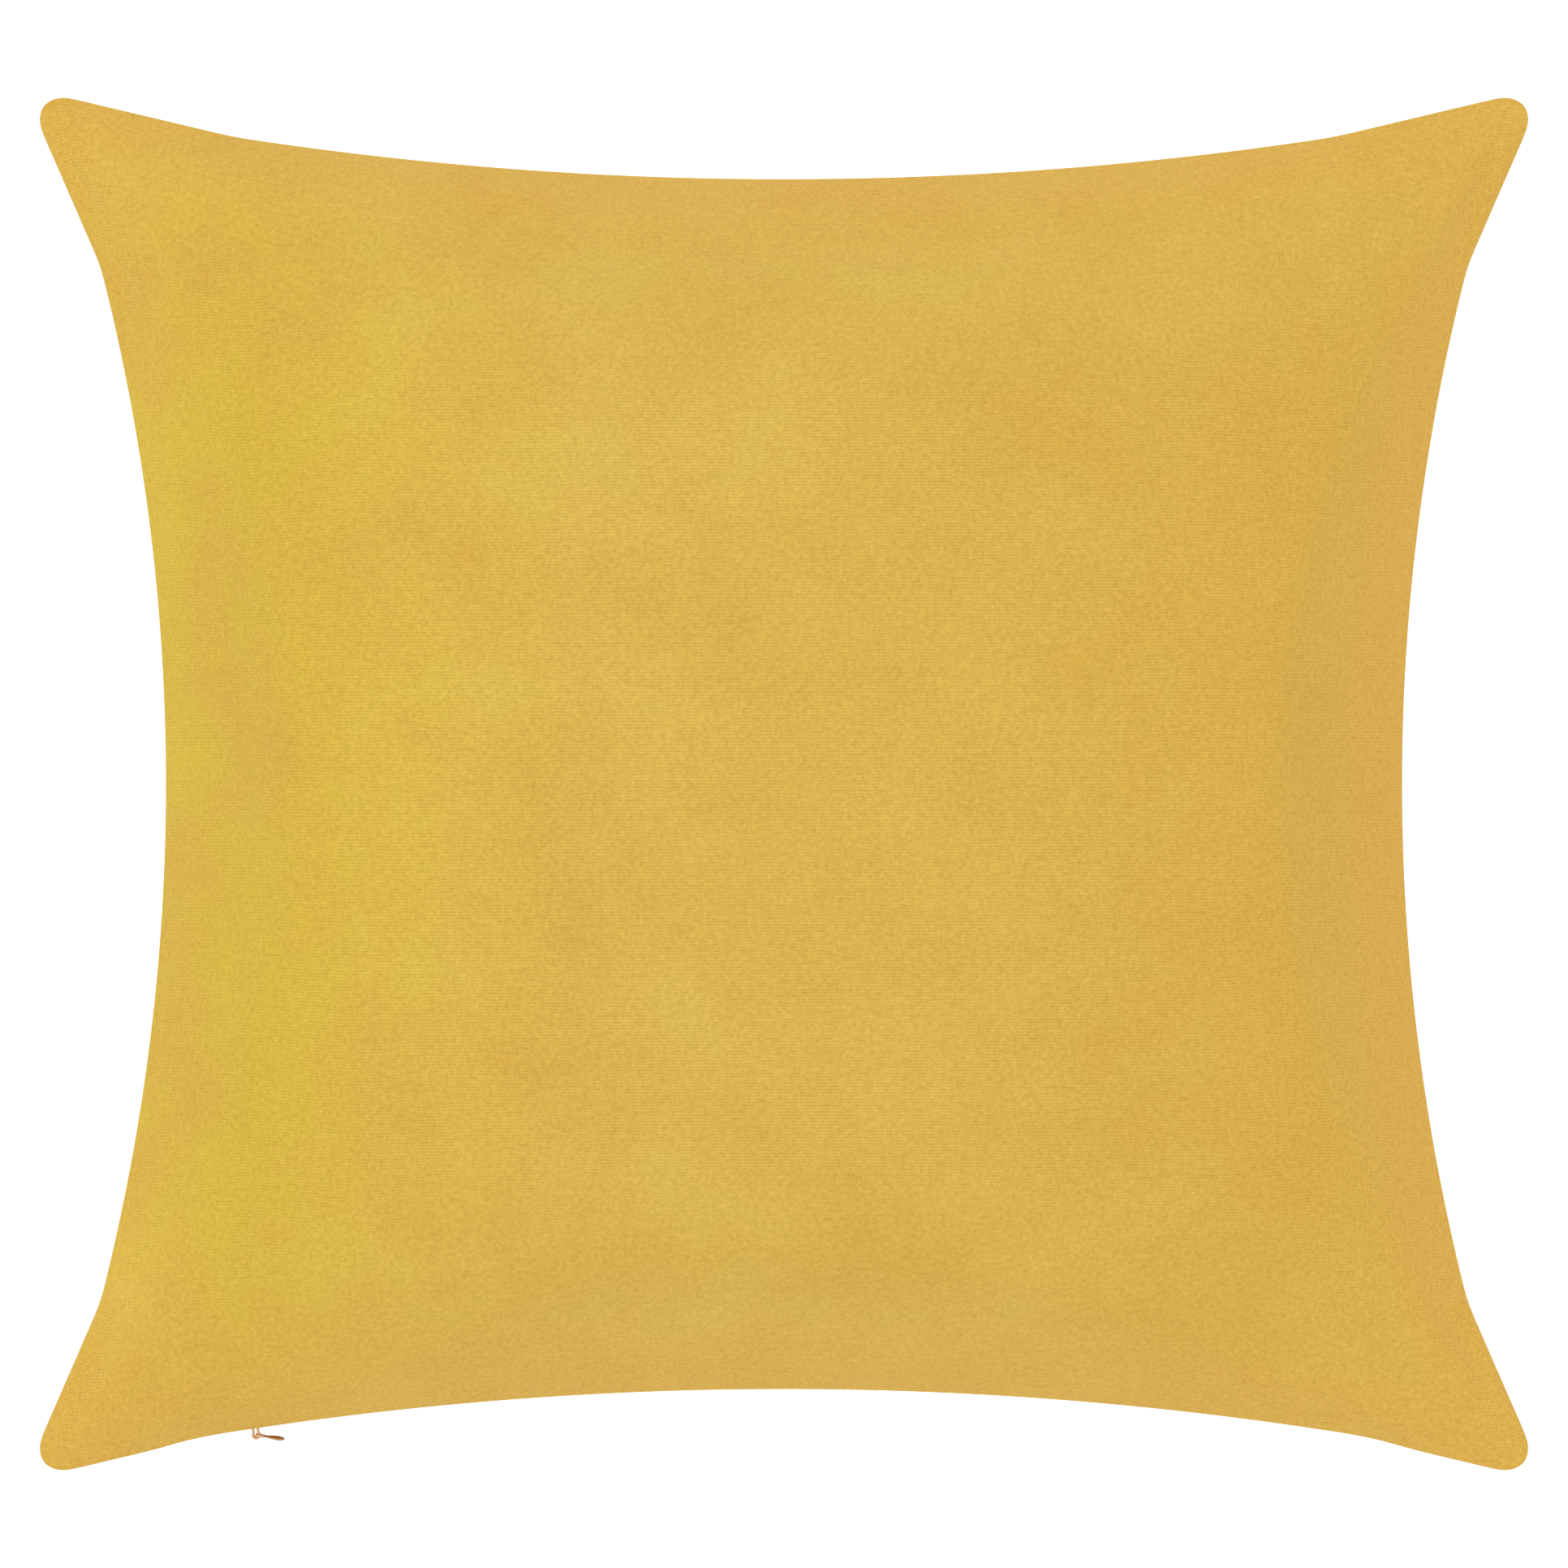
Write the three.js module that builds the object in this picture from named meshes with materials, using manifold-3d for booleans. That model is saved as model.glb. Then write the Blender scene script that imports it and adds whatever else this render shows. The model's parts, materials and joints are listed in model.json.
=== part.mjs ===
// Throw pillow: a zipped velvet cover with a knife-edge seam round a fibre-filled insert.
// Millimetres. The pillow lies on its back panel at z = 0, its front panel faces +Z,
// and the zip runs along the seam on the -Y side. The origin is under the middle of the pillow.
import * as THREE from "three";
import { mergeVertices } from "three/addons/utils/BufferGeometryUtils.js";
import Module from "manifold-3d";

const wasm = await Module();
wasm.setup();

// ---------------------------------------------------------------- driving dimensions
// Seam outline. Each seam is an arc, pulled in at its middle, that ends in a straight flare
// towards the corner, and the corner itself is rounded.
const MID_WIDTH = 372.4; // between the middles of the two side seams
const MID_HEIGHT = 364.4; // between the middles of the top and bottom seams
const SIDE_SAG = 19.9; // depth of a side seam's arc
const END_SAG = 12.8; // depth of the top or bottom seam's arc
const SIDE_FLARE = 55; // straight run of a side seam at each corner, along Y
const END_FLARE = 65; // straight run of a top or bottom seam at each corner, along X
const SIDE_FLARE_SLOPE = 0.44;
const END_FLARE_SLOPE = 0.239;
const CORNER_RADIUS = 8;

// Loft: how far each face swells from the plane of the seam.
const FACE_LOFT = 80;
const RESTING_DENT = 5; // how much of the back face is flattened where it lies
const SWELL_POWER = 2.3; // roundness of the face over its middle
const EDGE_POWER = 0.62; // steepness of the face at the seam: lower is steeper

// Cloths, fill and the clearances between them.
const VELVET = 1.3;
const INSERT_CLOTH = 0.5;
const COVER_TO_INSERT = 1;
const INSERT_TO_FILL = 1;
const TOUCH = 0.3; // gap between pieces that touch
const STEEPEST = 2.2; // most that a cloth's upright thickness grows on a steep wall

// Seam allowance, sewing and overlock.
const ALLOWANCE = 11;
const ALLOWANCE_CLOTH = 1.1;
const ALLOWANCE_START = 0.2; // where the turned-in cloth leaves the face, in from the seam
const SEAM_STITCH_INSET = 2.4;
const THREAD = 0.7;
const OVERLOCK = { width: 1, height: 3.2 };
const TAPE_TO_ALLOWANCE = 1.5; // end of the zip tape to the start of the plain seam's allowance
const INSERT_STITCH_TO_FILL = 0.9;
const CLOSING_STITCH = { length: 120, setback: 1, height: 1.4 }; // out from the insert's seam

// Grid lines that the cloths share. The first are distances in from the cover's seam, and the
// rest are distances in from the edge of the fill.
const EDGE_LINES = [0, 3.5, 8];
const FILL_LINES = [9, 22, 39, 61, 89, 124];
const CLOSEST_LINES = 4;
const INSERT_CLEARANCE = 1; // zip tape to the insert's seam
const FILL_SETBACK = 4; // the insert's seam to the edge of the fill

// Zip. It lies along the arc of the bottom seam; depths are measured inwards from the seam.
const SLIDER_TRAVEL = 319.6;
const SLIT_HALF_GAP = 1; // half of the gap between the lips that the slider's bridge comes through
const SLIT_END_RUN = 5; // how far the lips take to close at each end of the slit
const COIL_DEPTH = 5;
const COIL_WIDTH = 2;
const COIL_HEIGHT = 1.15;
const STOP_LENGTH = 2.2;
const TAPE_END = 9; // tape past the stops
const TAPE_THICKNESS = 0.5;
const TAPE_WIDTH = 8.7;
const HEM_CLEARANCE = 0.5; // round the slider
const HEM_ROOT = { depth: 0.8, z: 2.3 }; // where the hem leaves the lip
const HEM_SLANT = 1.6; // run of the hem's step down to the tape
const STITCH_SETBACK = 2.5; // the tape's edge to its row of stitches
const TACK = { length: 3, depth: 1.2, height: 3.2, inset: 2 };

// Slider: a channel round the coils, with a bridge that holds the pull.
const SLIDER_LENGTH = 8.5;
const SLIDER_WALL = 0.7;
const CHANNEL_GAP = 0.5; // clearance between the coils and the channel
const TOE_GAP = 0.45; // clearance between the tapes and the channel's toes
const BRIDGE_REACH = 2; // seam to the middle of the bridge's eye
const BRIDGE_RADIUS = 1.33;
const BRIDGE_THICKNESS = 1.4;
const LEG_WIDTH = 2.1;
const EYE_RADIUS = 0.65;

// Pull: an eye on a pin through the bridge, and a drop-shaped blade.
const PIN_RADIUS = 0.35;
const PULL_ANGLE = 17; // degrees outwards from the run of the seam, at rest
const ARM = { width: 0.45, thickness: 0.7 };
const NECK = { clearance: 0.42, length: 0.65 };
const BLADE = { length: 6.6, width: 3.6, thickness: 1.4, neck: 1.8, belly: 0.7 };

// Chord counts.
const ARC_STEPS = 24;
const SEAM_STEPS = 12;
const ROUND_SIDES = 20;
const CURVE_STEPS = 5;

// ---------------------------------------------------------------- seam outline
const halfWidth = MID_WIDTH / 2;
const halfHeight = MID_HEIGHT / 2;
const sharpX = halfWidth + SIDE_SAG + SIDE_FLARE * SIDE_FLARE_SLOPE;
const sharpY = halfHeight + END_SAG + END_FLARE * END_FLARE_SLOPE;

// One seam, as its distance from the middle of the pillow at a distance p along it.
function seam(middle, sag, halfChord, slope) {
  const radius = (halfChord ** 2 + sag ** 2) / (2 * sag);
  const reach = (p) =>
    p < halfChord
      ? middle + radius - Math.sqrt(radius ** 2 - p ** 2)
      : middle + sag + (p - halfChord) * slope;
  return { radius, reach };
}
const sideSeam = seam(halfWidth, SIDE_SAG, sharpY - SIDE_FLARE, SIDE_FLARE_SLOPE);
const endSeam = seam(halfHeight, END_SAG, sharpX - END_FLARE, END_FLARE_SLOPE);

// The corner's round touches both straight flares.
const alongSide = new THREE.Vector2(SIDE_FLARE_SLOPE, 1).normalize();
const alongEnd = new THREE.Vector2(1, END_FLARE_SLOPE).normalize();
const cornerHalfAngle = Math.acos(alongSide.dot(alongEnd)) / 2;
const outOfCorner = alongSide.clone().add(alongEnd).normalize();
const cornerMiddle = new THREE.Vector2(sharpX, sharpY).addScaledVector(
  outOfCorner,
  -CORNER_RADIUS / Math.sin(cornerHalfAngle),
);
const cornerTip = cornerMiddle.clone().addScaledVector(outOfCorner, CORNER_RADIUS);
const flareEnd = CORNER_RADIUS / Math.tan(cornerHalfAngle);
const roundFromY = sharpY - flareEnd * alongSide.y;
const roundFromX = sharpX - flareEnd * alongEnd.x;

function roundReach(p, along, across) {
  return across + Math.sqrt(Math.max(0, CORNER_RADIUS ** 2 - (p - along) ** 2));
}
function sideReach(y) {
  return y < roundFromY ? sideSeam.reach(y) : roundReach(y, cornerMiddle.y, cornerMiddle.x);
}
function endReach(x) {
  return x < roundFromX ? endSeam.reach(x) : roundReach(x, cornerMiddle.x, cornerMiddle.y);
}

// A point of the plan from its place across and up the cloth, each from -1 to 1.
function plan(t, s) {
  return new THREE.Vector2(
    t * sideReach(Math.abs(s) * cornerTip.y),
    s * endReach(Math.abs(t) * cornerTip.x),
  );
}

// ---------------------------------------------------------------- zip sections
// Depths are measured inwards from the seam and heights from the seam's plane.
const coilTop = TOUCH / 2 + COIL_HEIGHT;
const channel = {
  start: COIL_DEPTH - CHANNEL_GAP,
  end: COIL_DEPTH + COIL_WIDTH + CHANNEL_GAP,
  halfHeight: coilTop + CHANNEL_GAP,
};
const slider = {
  start: channel.start - SLIDER_WALL,
  end: channel.end + SLIDER_WALL,
  halfHeight: channel.halfHeight + SLIDER_WALL,
};
const tape = {
  start: COIL_DEPTH + COIL_WIDTH + TOUCH,
  end: COIL_DEPTH + COIL_WIDTH + TOUCH + TAPE_WIDTH,
  bottom: TOUCH / 2,
  top: TOUCH / 2 + TAPE_THICKNESS,
};
const chainHalf = SLIDER_TRAVEL / 2 + SLIDER_LENGTH / 2 + TOUCH;
const slitHalf = chainHalf + TOUCH + STOP_LENGTH;
const tapeHalf = slitHalf + TAPE_END;

// ---------------------------------------------------------------- faces and their layers
const seamZ = FACE_LOFT - RESTING_DENT;
const insertInset = tape.end + INSERT_CLEARANCE;
const fillInset = insertInset + FILL_SETBACK;
const gridInsets = [
  ...EDGE_LINES,
  insertInset,
  fillInset,
  ...FILL_LINES.map((inwards) => fillInset + inwards),
];

function swell(inset) {
  return (1 - (1 - inset) ** SWELL_POWER) ** EDGE_POWER;
}
function lofted(t, s) {
  return swell(1 - Math.abs(t)) * swell(1 - Math.abs(s));
}

// Growth of a cloth's upright thickness where its face is steep.
function steepness(t, s) {
  const step = 1e-3;
  const across = Math.abs(t);
  const up = Math.abs(s);
  const fallX = (lofted(across - step, up) - lofted(across + step, up)) / (2 * step);
  const fallY = (lofted(across, up - step) - lofted(across, up + step)) / (2 * step);
  const slope = Math.hypot(fallX / halfWidth, fallY / halfHeight) * FACE_LOFT;
  return Math.min(STEEPEST, Math.hypot(1, slope));
}

// Half of the gap between the two panels at the seam: open over the zip, closed elsewhere.
function lipGap(t, s) {
  if (s > -1) return TOUCH / 2;
  const past = (Math.abs(plan(t, s).x) - slitHalf) / SLIT_END_RUN;
  return THREE.MathUtils.lerp(SLIT_HALF_GAP, TOUCH / 2, THREE.MathUtils.clamp(past, 0, 1));
}

// Heights of each layer above the seam's plane. At its rim a layer comes down to its seam.
function coverInner(t, s, rim) {
  if (rim) return lipGap(t, s);
  return TOUCH / 2 + (FACE_LOFT - VELVET - TOUCH / 2) * lofted(t, s);
}
function coverOuter(t, s, rim) {
  return coverInner(t, s, rim) + VELVET * (rim ? 1 : steepness(t, s));
}
function insertOuter(t, s, rim) {
  if (rim) return TOUCH / 2 + INSERT_CLOTH;
  return coverInner(t, s, false) - COVER_TO_INSERT * steepness(t, s);
}
function insertInner(t, s, rim) {
  if (rim) return TOUCH / 2;
  return insertOuter(t, s, false) - INSERT_CLOTH * steepness(t, s);
}
function fillOuter(t, s) {
  return insertInner(t, s, false) - INSERT_TO_FILL * steepness(t, s);
}

// How far above the floor each layer stays where the back of the pillow rests.
const lift = {
  coverOuter: 0,
  coverInner: VELVET,
  insertOuter: VELVET + COVER_TO_INSERT,
  insertInner: VELVET + COVER_TO_INSERT + INSERT_CLOTH,
  fill: VELVET + COVER_TO_INSERT + INSERT_CLOTH + INSERT_TO_FILL,
};
function above(layer) {
  return (t, s, rim) => seamZ + layer(t, s, rim);
}
function below(layer, floor) {
  return (t, s, rim) => Math.max(floor, seamZ - layer(t, s, rim));
}

// Grid lines from a distance in from the seam to the same distance in on the far side. Lines
// that must be there push out the others that are too close to them.
function linesFrom(inset, half, needed = []) {
  const apart = (line) => needed.every((other) => Math.abs(line - other) * half > CLOSEST_LINES);
  const usual = gridInsets.filter((line) => line >= inset).map((line) => 1 - line / half);
  const lines = [...usual.filter(apart), ...needed].sort((a, b) => a - b);
  return [...lines.map((line) => -line).reverse(), 0, ...lines];
}

// A box whose top and bottom are spread over the grid and drawn to two heights.
function layeredSolid(inset, top, bottom) {
  const slitEnds = [slitHalf, slitHalf + SLIT_END_RUN].map((x) => x / cornerTip.x);
  const across = linesFrom(inset, halfWidth, slitEnds);
  const up = linesFrom(inset, halfHeight);
  const lastX = across.length - 1;
  const lastY = up.length - 1;
  const box = new THREE.BoxGeometry(2, 2, 2, lastX, lastY, 1);
  const place = box.getAttribute("position");
  for (let n = 0; n < place.count; n++) {
    const i = Math.round(((place.getX(n) + 1) / 2) * lastX);
    const j = Math.round(((place.getY(n) + 1) / 2) * lastY);
    const rim = i === 0 || i === lastX || j === 0 || j === lastY;
    const at = plan(across[i], up[j]);
    const height = place.getZ(n) > 0 ? top : bottom;
    place.setXYZ(n, at.x, at.y, height(across[i], up[j], rim));
  }
  return splitAlike(box);
}

// Splits the squares of a box's underside along the same diagonals as its top, so that layers
// which share a grid keep their distance between its lines too.
function splitAlike(box) {
  const index = box.index.array;
  const underside = box.groups[5];
  for (let n = underside.start; n < underside.start + underside.count; n += 6) {
    const [a, b, d, , c] = index.slice(n, n + 6);
    index.set([a, b, c, a, c, d], n);
  }
  return box;
}

// ---------------------------------------------------------------- ribbons along the plain seams
// The path runs round three sides, from one side of an opening in the bottom seam to the other.
function seamPath(inset, openHalf) {
  const edgeT = 1 - inset / halfWidth;
  const edgeS = 1 - inset / halfHeight;
  const spaced = Array.from({ length: SEAM_STEPS + 1 }, (_, i) => (2 * i) / SEAM_STEPS - 1);
  const openT = openHalf / cornerTip.x;
  const lastStep = Math.ceil((SEAM_STEPS / 2) * (1 - openT)) + 1;
  const bottom = Array.from({ length: lastStep }, (_, i) =>
    THREE.MathUtils.lerp(openT, edgeT, i / lastStep),
  );
  const half = [
    ...bottom.map((t) => [t, -edgeS]),
    ...spaced.map((s) => [edgeT, s * edgeS]),
    ...spaced.filter((t) => t > 0 && t < 1).reverse().map((t) => [t * edgeT, edgeS]),
  ];
  const mirrored = half.map(([t, s]) => [-t, s]).reverse();
  return [...half, [0, edgeS], ...mirrored].map(([t, s]) => plan(t, s));
}

// A closed band between two distances in from the seam, standing between two heights.
function seamRibbon(inset, width, bottom, height, openHalf) {
  const outline = [...seamPath(inset, openHalf), ...seamPath(inset + width, openHalf).reverse()];
  const band = new THREE.ExtrudeGeometry(new THREE.Shape(outline), {
    depth: height,
    bevelEnabled: false,
  });
  return band.translate(0, 0, seamZ + bottom);
}

// ---------------------------------------------------------------- pieces along the zip's arc
const zipCentreY = -halfHeight - endSeam.radius;

// Bends a straight piece, made along X with Y as depth and Z from the seam's plane.
function bent(geometry) {
  const place = geometry.getAttribute("position");
  for (let n = 0; n < place.count; n++) {
    const angle = place.getX(n) / endSeam.radius;
    const reach = endSeam.radius + place.getY(n);
    const z = seamZ + place.getZ(n);
    place.setXYZ(n, reach * Math.sin(angle), zipCentreY + reach * Math.cos(angle), z);
  }
  return geometry;
}

// A box between limits along the zip, in depth and in height.
function zipBox([x0, x1], [y0, y1], [z0, z1]) {
  const steps = Math.max(1, Math.round((ARC_STEPS * (x1 - x0)) / SLIDER_TRAVEL));
  const box = new THREE.BoxGeometry(x1 - x0, y1 - y0, z1 - z0, steps, 1, 1);
  return bent(box.translate((x0 + x1) / 2, (y0 + y1) / 2, (z0 + z1) / 2));
}

// A section in depth and height, drawn out along X.
function drawnAlongX(section, from, to, steps) {
  const solid = new THREE.ExtrudeGeometry(new THREE.Shape(section), {
    depth: to - from,
    steps,
    bevelEnabled: false,
  });
  const turned = new THREE.Matrix4().makeBasis(
    new THREE.Vector3(0, 1, 0),
    new THREE.Vector3(0, 0, 1),
    new THREE.Vector3(1, 0, 0),
  );
  return solid.applyMatrix4(turned).translate(from, 0, 0);
}

// The turned-in hem goes over the slider's channel and down to the zip tape.
function hem() {
  const over = slider.halfHeight + HEM_CLEARANCE;
  const on = tape.top + TOUCH;
  const before = slider.start - HEM_CLEARANCE;
  const after = slider.end + HEM_CLEARANCE;
  const cloth = ALLOWANCE_CLOTH;
  const section = [
    [HEM_ROOT.depth, HEM_ROOT.z],
    [before, over],
    [after, over],
    [after + HEM_SLANT, on],
    [tape.end, on],
    [tape.end, on + cloth],
    [after + HEM_SLANT + cloth / 2, on + cloth],
    [after + cloth / 2, over + cloth],
    [before, over + cloth],
    [HEM_ROOT.depth, HEM_ROOT.z + cloth],
  ].map(([depth, z]) => new THREE.Vector2(depth, z));
  return bent(drawnAlongX(section, -tapeHalf, tapeHalf, ARC_STEPS));
}

// ---------------------------------------------------------------- joins and cuts
function toSolid(geometry) {
  const bare = geometry.clone();
  bare.deleteAttribute("normal");
  bare.deleteAttribute("uv");
  const merged = mergeVertices(bare, 1e-4);
  const triVerts = new Uint32Array(merged.index.array);
  const vertProperties = merged.getAttribute("position").array;
  return new wasm.Manifold(new wasm.Mesh({ numProp: 3, vertProperties, triVerts }));
}
function toGeometry(solid) {
  const mesh = solid.getMesh();
  const geometry = new THREE.BufferGeometry();
  geometry.setAttribute("position", new THREE.BufferAttribute(mesh.vertProperties, 3));
  geometry.setIndex(new THREE.BufferAttribute(mesh.triVerts, 1));
  return geometry;
}
function joined(geometries, cuts = []) {
  const body = geometries.map(toSolid).reduce((whole, piece) => whole.add(piece));
  return toGeometry(cuts.map(toSolid).reduce((whole, cut) => whole.subtract(cut), body));
}

// A front piece turned over about the seam's plane to make its twin at the back.
function turnedOver(geometry) {
  return geometry.translate(0, 0, -seamZ).rotateY(Math.PI).translate(0, 0, seamZ);
}

// ---------------------------------------------------------------- cover
const tapeCornerX = (endSeam.radius + tape.end) * Math.sin(tapeHalf / endSeam.radius);
const allowanceOpening = tapeCornerX + TAPE_TO_ALLOWANCE;

function allowance() {
  const width = ALLOWANCE - ALLOWANCE_START;
  return seamRibbon(ALLOWANCE_START, width, TOUCH / 2, ALLOWANCE_CLOTH, allowanceOpening);
}
function seamThread(room = 0) {
  return seamRibbon(
    SEAM_STITCH_INSET - room,
    THREAD + 2 * room,
    -THREAD / 2 - room,
    THREAD + 2 * room,
    allowanceOpening - room,
  );
}
function coverFront() {
  const face = layeredSolid(0, above(coverOuter), above(coverInner));
  return joined([face, allowance(), hem()], [seamThread(TOUCH), overlockThread(TOUCH)]);
}
function coverBack() {
  const face = layeredSolid(
    0,
    below(coverInner, lift.coverInner),
    below(coverOuter, lift.coverOuter),
  );
  const turnedIn = [turnedOver(allowance()), turnedOver(hem())];
  return joined([face, ...turnedIn], [seamThread(TOUCH), overlockThread(TOUCH)]);
}
function overlockThread(room = 0) {
  return seamRibbon(
    ALLOWANCE + TOUCH - room,
    OVERLOCK.width + 2 * room,
    -OVERLOCK.height / 2 - room,
    OVERLOCK.height + 2 * room,
    allowanceOpening - room,
  );
}

// ---------------------------------------------------------------- zip
function zipTape() {
  return zipBox([-tapeHalf, tapeHalf], [tape.start, tape.end], [tape.bottom, tape.top]);
}
function zipCoil() {
  const depths = [COIL_DEPTH, COIL_DEPTH + COIL_WIDTH];
  return zipBox([-chainHalf, chainHalf], depths, [TOUCH / 2, coilTop]);
}
function zipStitching() {
  const depth = tape.end - STITCH_SETBACK;
  const z = tape.top + TOUCH + ALLOWANCE_CLOTH + TOUCH;
  return zipBox([-tapeHalf, tapeHalf], [depth - THREAD, depth], [z, z + THREAD]);
}

// A stop clamps the end of a coil, so it is as deep and as high as the coil.
function zipStop(side, heights) {
  const ends = [side * (chainHalf + TOUCH), side * slitHalf].sort((a, b) => a - b);
  return zipBox(ends, [COIL_DEPTH, COIL_DEPTH + COIL_WIDTH], heights);
}
function barTack(side) {
  const start = slitHalf + TOUCH;
  const ends = [side * start, side * (start + TACK.length)].sort((a, b) => a - b);
  const heights = [-TACK.height / 2, TACK.height / 2];
  return zipBox(ends, [TACK.inset, TACK.inset + TACK.depth], heights);
}

// An outline of two straight legs that run into a circle, centred on the origin.
function keyhole(legWidth, radius, legEnd, Outline) {
  const half = legWidth / 2;
  const rise = Math.sqrt(radius ** 2 - half ** 2);
  const turn = Math.atan2(rise, half);
  const outline = new Outline();
  outline.moveTo(half, legEnd);
  outline.lineTo(-half, legEnd);
  outline.lineTo(-half, rise);
  outline.absarc(0, 0, radius, Math.PI - turn, 2 * Math.PI + turn, false);
  return outline;
}

// The slider's own frame: X along the seam, Y outwards to the arc's centre plus the depth.
function sliderBody() {
  const { start, end, halfHeight: high } = slider;
  const toeGap = tape.top + TOE_GAP;
  const section = [
    [start, -high],
    [end, -high],
    [end, -toeGap],
    [channel.end, -toeGap],
    [channel.end, -channel.halfHeight],
    [channel.start, -channel.halfHeight],
    [channel.start, channel.halfHeight],
    [channel.end, channel.halfHeight],
    [channel.end, toeGap],
    [end, toeGap],
    [end, high],
    [start, high],
  ].map(([depth, z]) => new THREE.Vector2(depth, z));
  const half = SLIDER_LENGTH / 2;
  const tube = drawnAlongX(section, -half, half, 1);
  const outline = keyhole(LEG_WIDTH, BRIDGE_RADIUS, BRIDGE_REACH + channel.start, THREE.Shape);
  const legGap = LEG_WIDTH - 2 * (BRIDGE_RADIUS - EYE_RADIUS);
  outline.holes.push(keyhole(legGap, EYE_RADIUS, BRIDGE_REACH + slider.start, THREE.Path));
  const bridge = new THREE.ExtrudeGeometry(outline, {
    depth: BRIDGE_THICKNESS,
    bevelEnabled: false,
    curveSegments: ROUND_SIDES,
  });
  bridge.translate(0, -BRIDGE_REACH, -BRIDGE_THICKNESS / 2);
  return joined([tube, bridge]).translate(0, endSeam.radius, 0);
}

// The pull's own frame: its pin at the origin, its blade along X, its width along Z.
function pullTab() {
  const armInner = BRIDGE_THICKNESS / 2 + TOUCH;
  const armOuter = armInner + ARM.width;
  const neckStart = BRIDGE_RADIUS + NECK.clearance;
  const bladeStart = neckStart + NECK.length / 2;
  const pin = new THREE.CylinderGeometry(PIN_RADIUS, PIN_RADIUS, 2 * armOuter, ROUND_SIDES);
  pin.rotateX(Math.PI / 2);
  const arms = [-1, 1].map((side) => {
    const length = neckStart + ARM.thickness / 2 + NECK.length / 2;
    const arm = new THREE.BoxGeometry(length, ARM.thickness, ARM.width);
    const middle = (armInner + armOuter) / 2;
    return arm.translate(length / 2 - ARM.thickness / 2, 0, side * middle);
  });
  const neck = new THREE.BoxGeometry(NECK.length, ARM.thickness, 2 * armOuter);
  neck.translate(neckStart + NECK.length / 2, 0, 0);
  return joined([pin, ...arms, neck, blade().translate(bladeStart, 0, 0)]);
}

// A drop turned about X, then flattened to the blade's thickness.
function blade() {
  const neck = BLADE.neck / 2;
  const widest = BLADE.width / 2;
  const bellyAt = BLADE.length * BLADE.belly;
  const swelling = new THREE.CubicBezierCurve(
    new THREE.Vector2(neck, 0),
    new THREE.Vector2(neck, bellyAt / 2),
    new THREE.Vector2(widest, bellyAt / 2),
    new THREE.Vector2(widest, bellyAt),
  );
  const tip = new THREE.EllipseCurve(0, bellyAt, widest, BLADE.length - bellyAt, 0, Math.PI / 2);
  const profile = [
    new THREE.Vector2(0, 0),
    ...swelling.getPoints(CURVE_STEPS),
    ...tip.getPoints(CURVE_STEPS).slice(1, -1),
    new THREE.Vector2(0, BLADE.length),
  ];
  const drop = new THREE.LatheGeometry(profile, ROUND_SIDES).rotateZ(-Math.PI / 2);
  return drop.scale(1, BLADE.thickness / BLADE.width, 1);
}

// ---------------------------------------------------------------- insert
function insertFront() {
  return layeredSolid(insertInset, above(insertOuter), above(insertInner));
}
function insertBack() {
  return layeredSolid(
    insertInset,
    below(insertInner, lift.insertInner),
    below(insertOuter, lift.insertOuter),
  );
}
function insertSeamThread() {
  const inset = fillInset - INSERT_STITCH_TO_FILL - THREAD;
  return seamRibbon(inset, THREAD, -THREAD / 2, THREAD, TOUCH);
}

// The fibre goes in through the middle of the insert's top seam, which is then closed.
function closingStitch() {
  const { length, setback, height } = CLOSING_STITCH;
  const depth = insertInset - setback;
  const stitch = zipBox([-length / 2, length / 2], [depth - THREAD, depth], [-height / 2, height / 2]);
  return stitch.rotateZ(Math.PI);
}
function fibreFill() {
  return layeredSolid(fillInset, above(fillOuter), below(fillOuter, lift.fill));
}

// ---------------------------------------------------------------- assembly
const VELVET_LOOK = { color: 0xd9b250, roughness: 0.9 };
const TAPE_LOOK = { color: 0xc9a24a, roughness: 0.85 };
const COIL_LOOK = { color: 0xcaa14b, roughness: 0.45 };
const THREAD_LOOK = { color: 0xc99c3c, roughness: 0.7 };
const METAL_LOOK = { color: 0xd69a72, roughness: 0.25, metalness: 1 };
const INSERT_LOOK = { color: 0xf1efe9, roughness: 0.9 };
const FIBRE_LOOK = { color: 0xfafaf7, roughness: 1 };

function piece(name, geometry, look) {
  geometry.computeVertexNormals();
  const mesh = new THREE.Mesh(geometry, new THREE.MeshStandardMaterial(look));
  mesh.name = name;
  return mesh;
}

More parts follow.
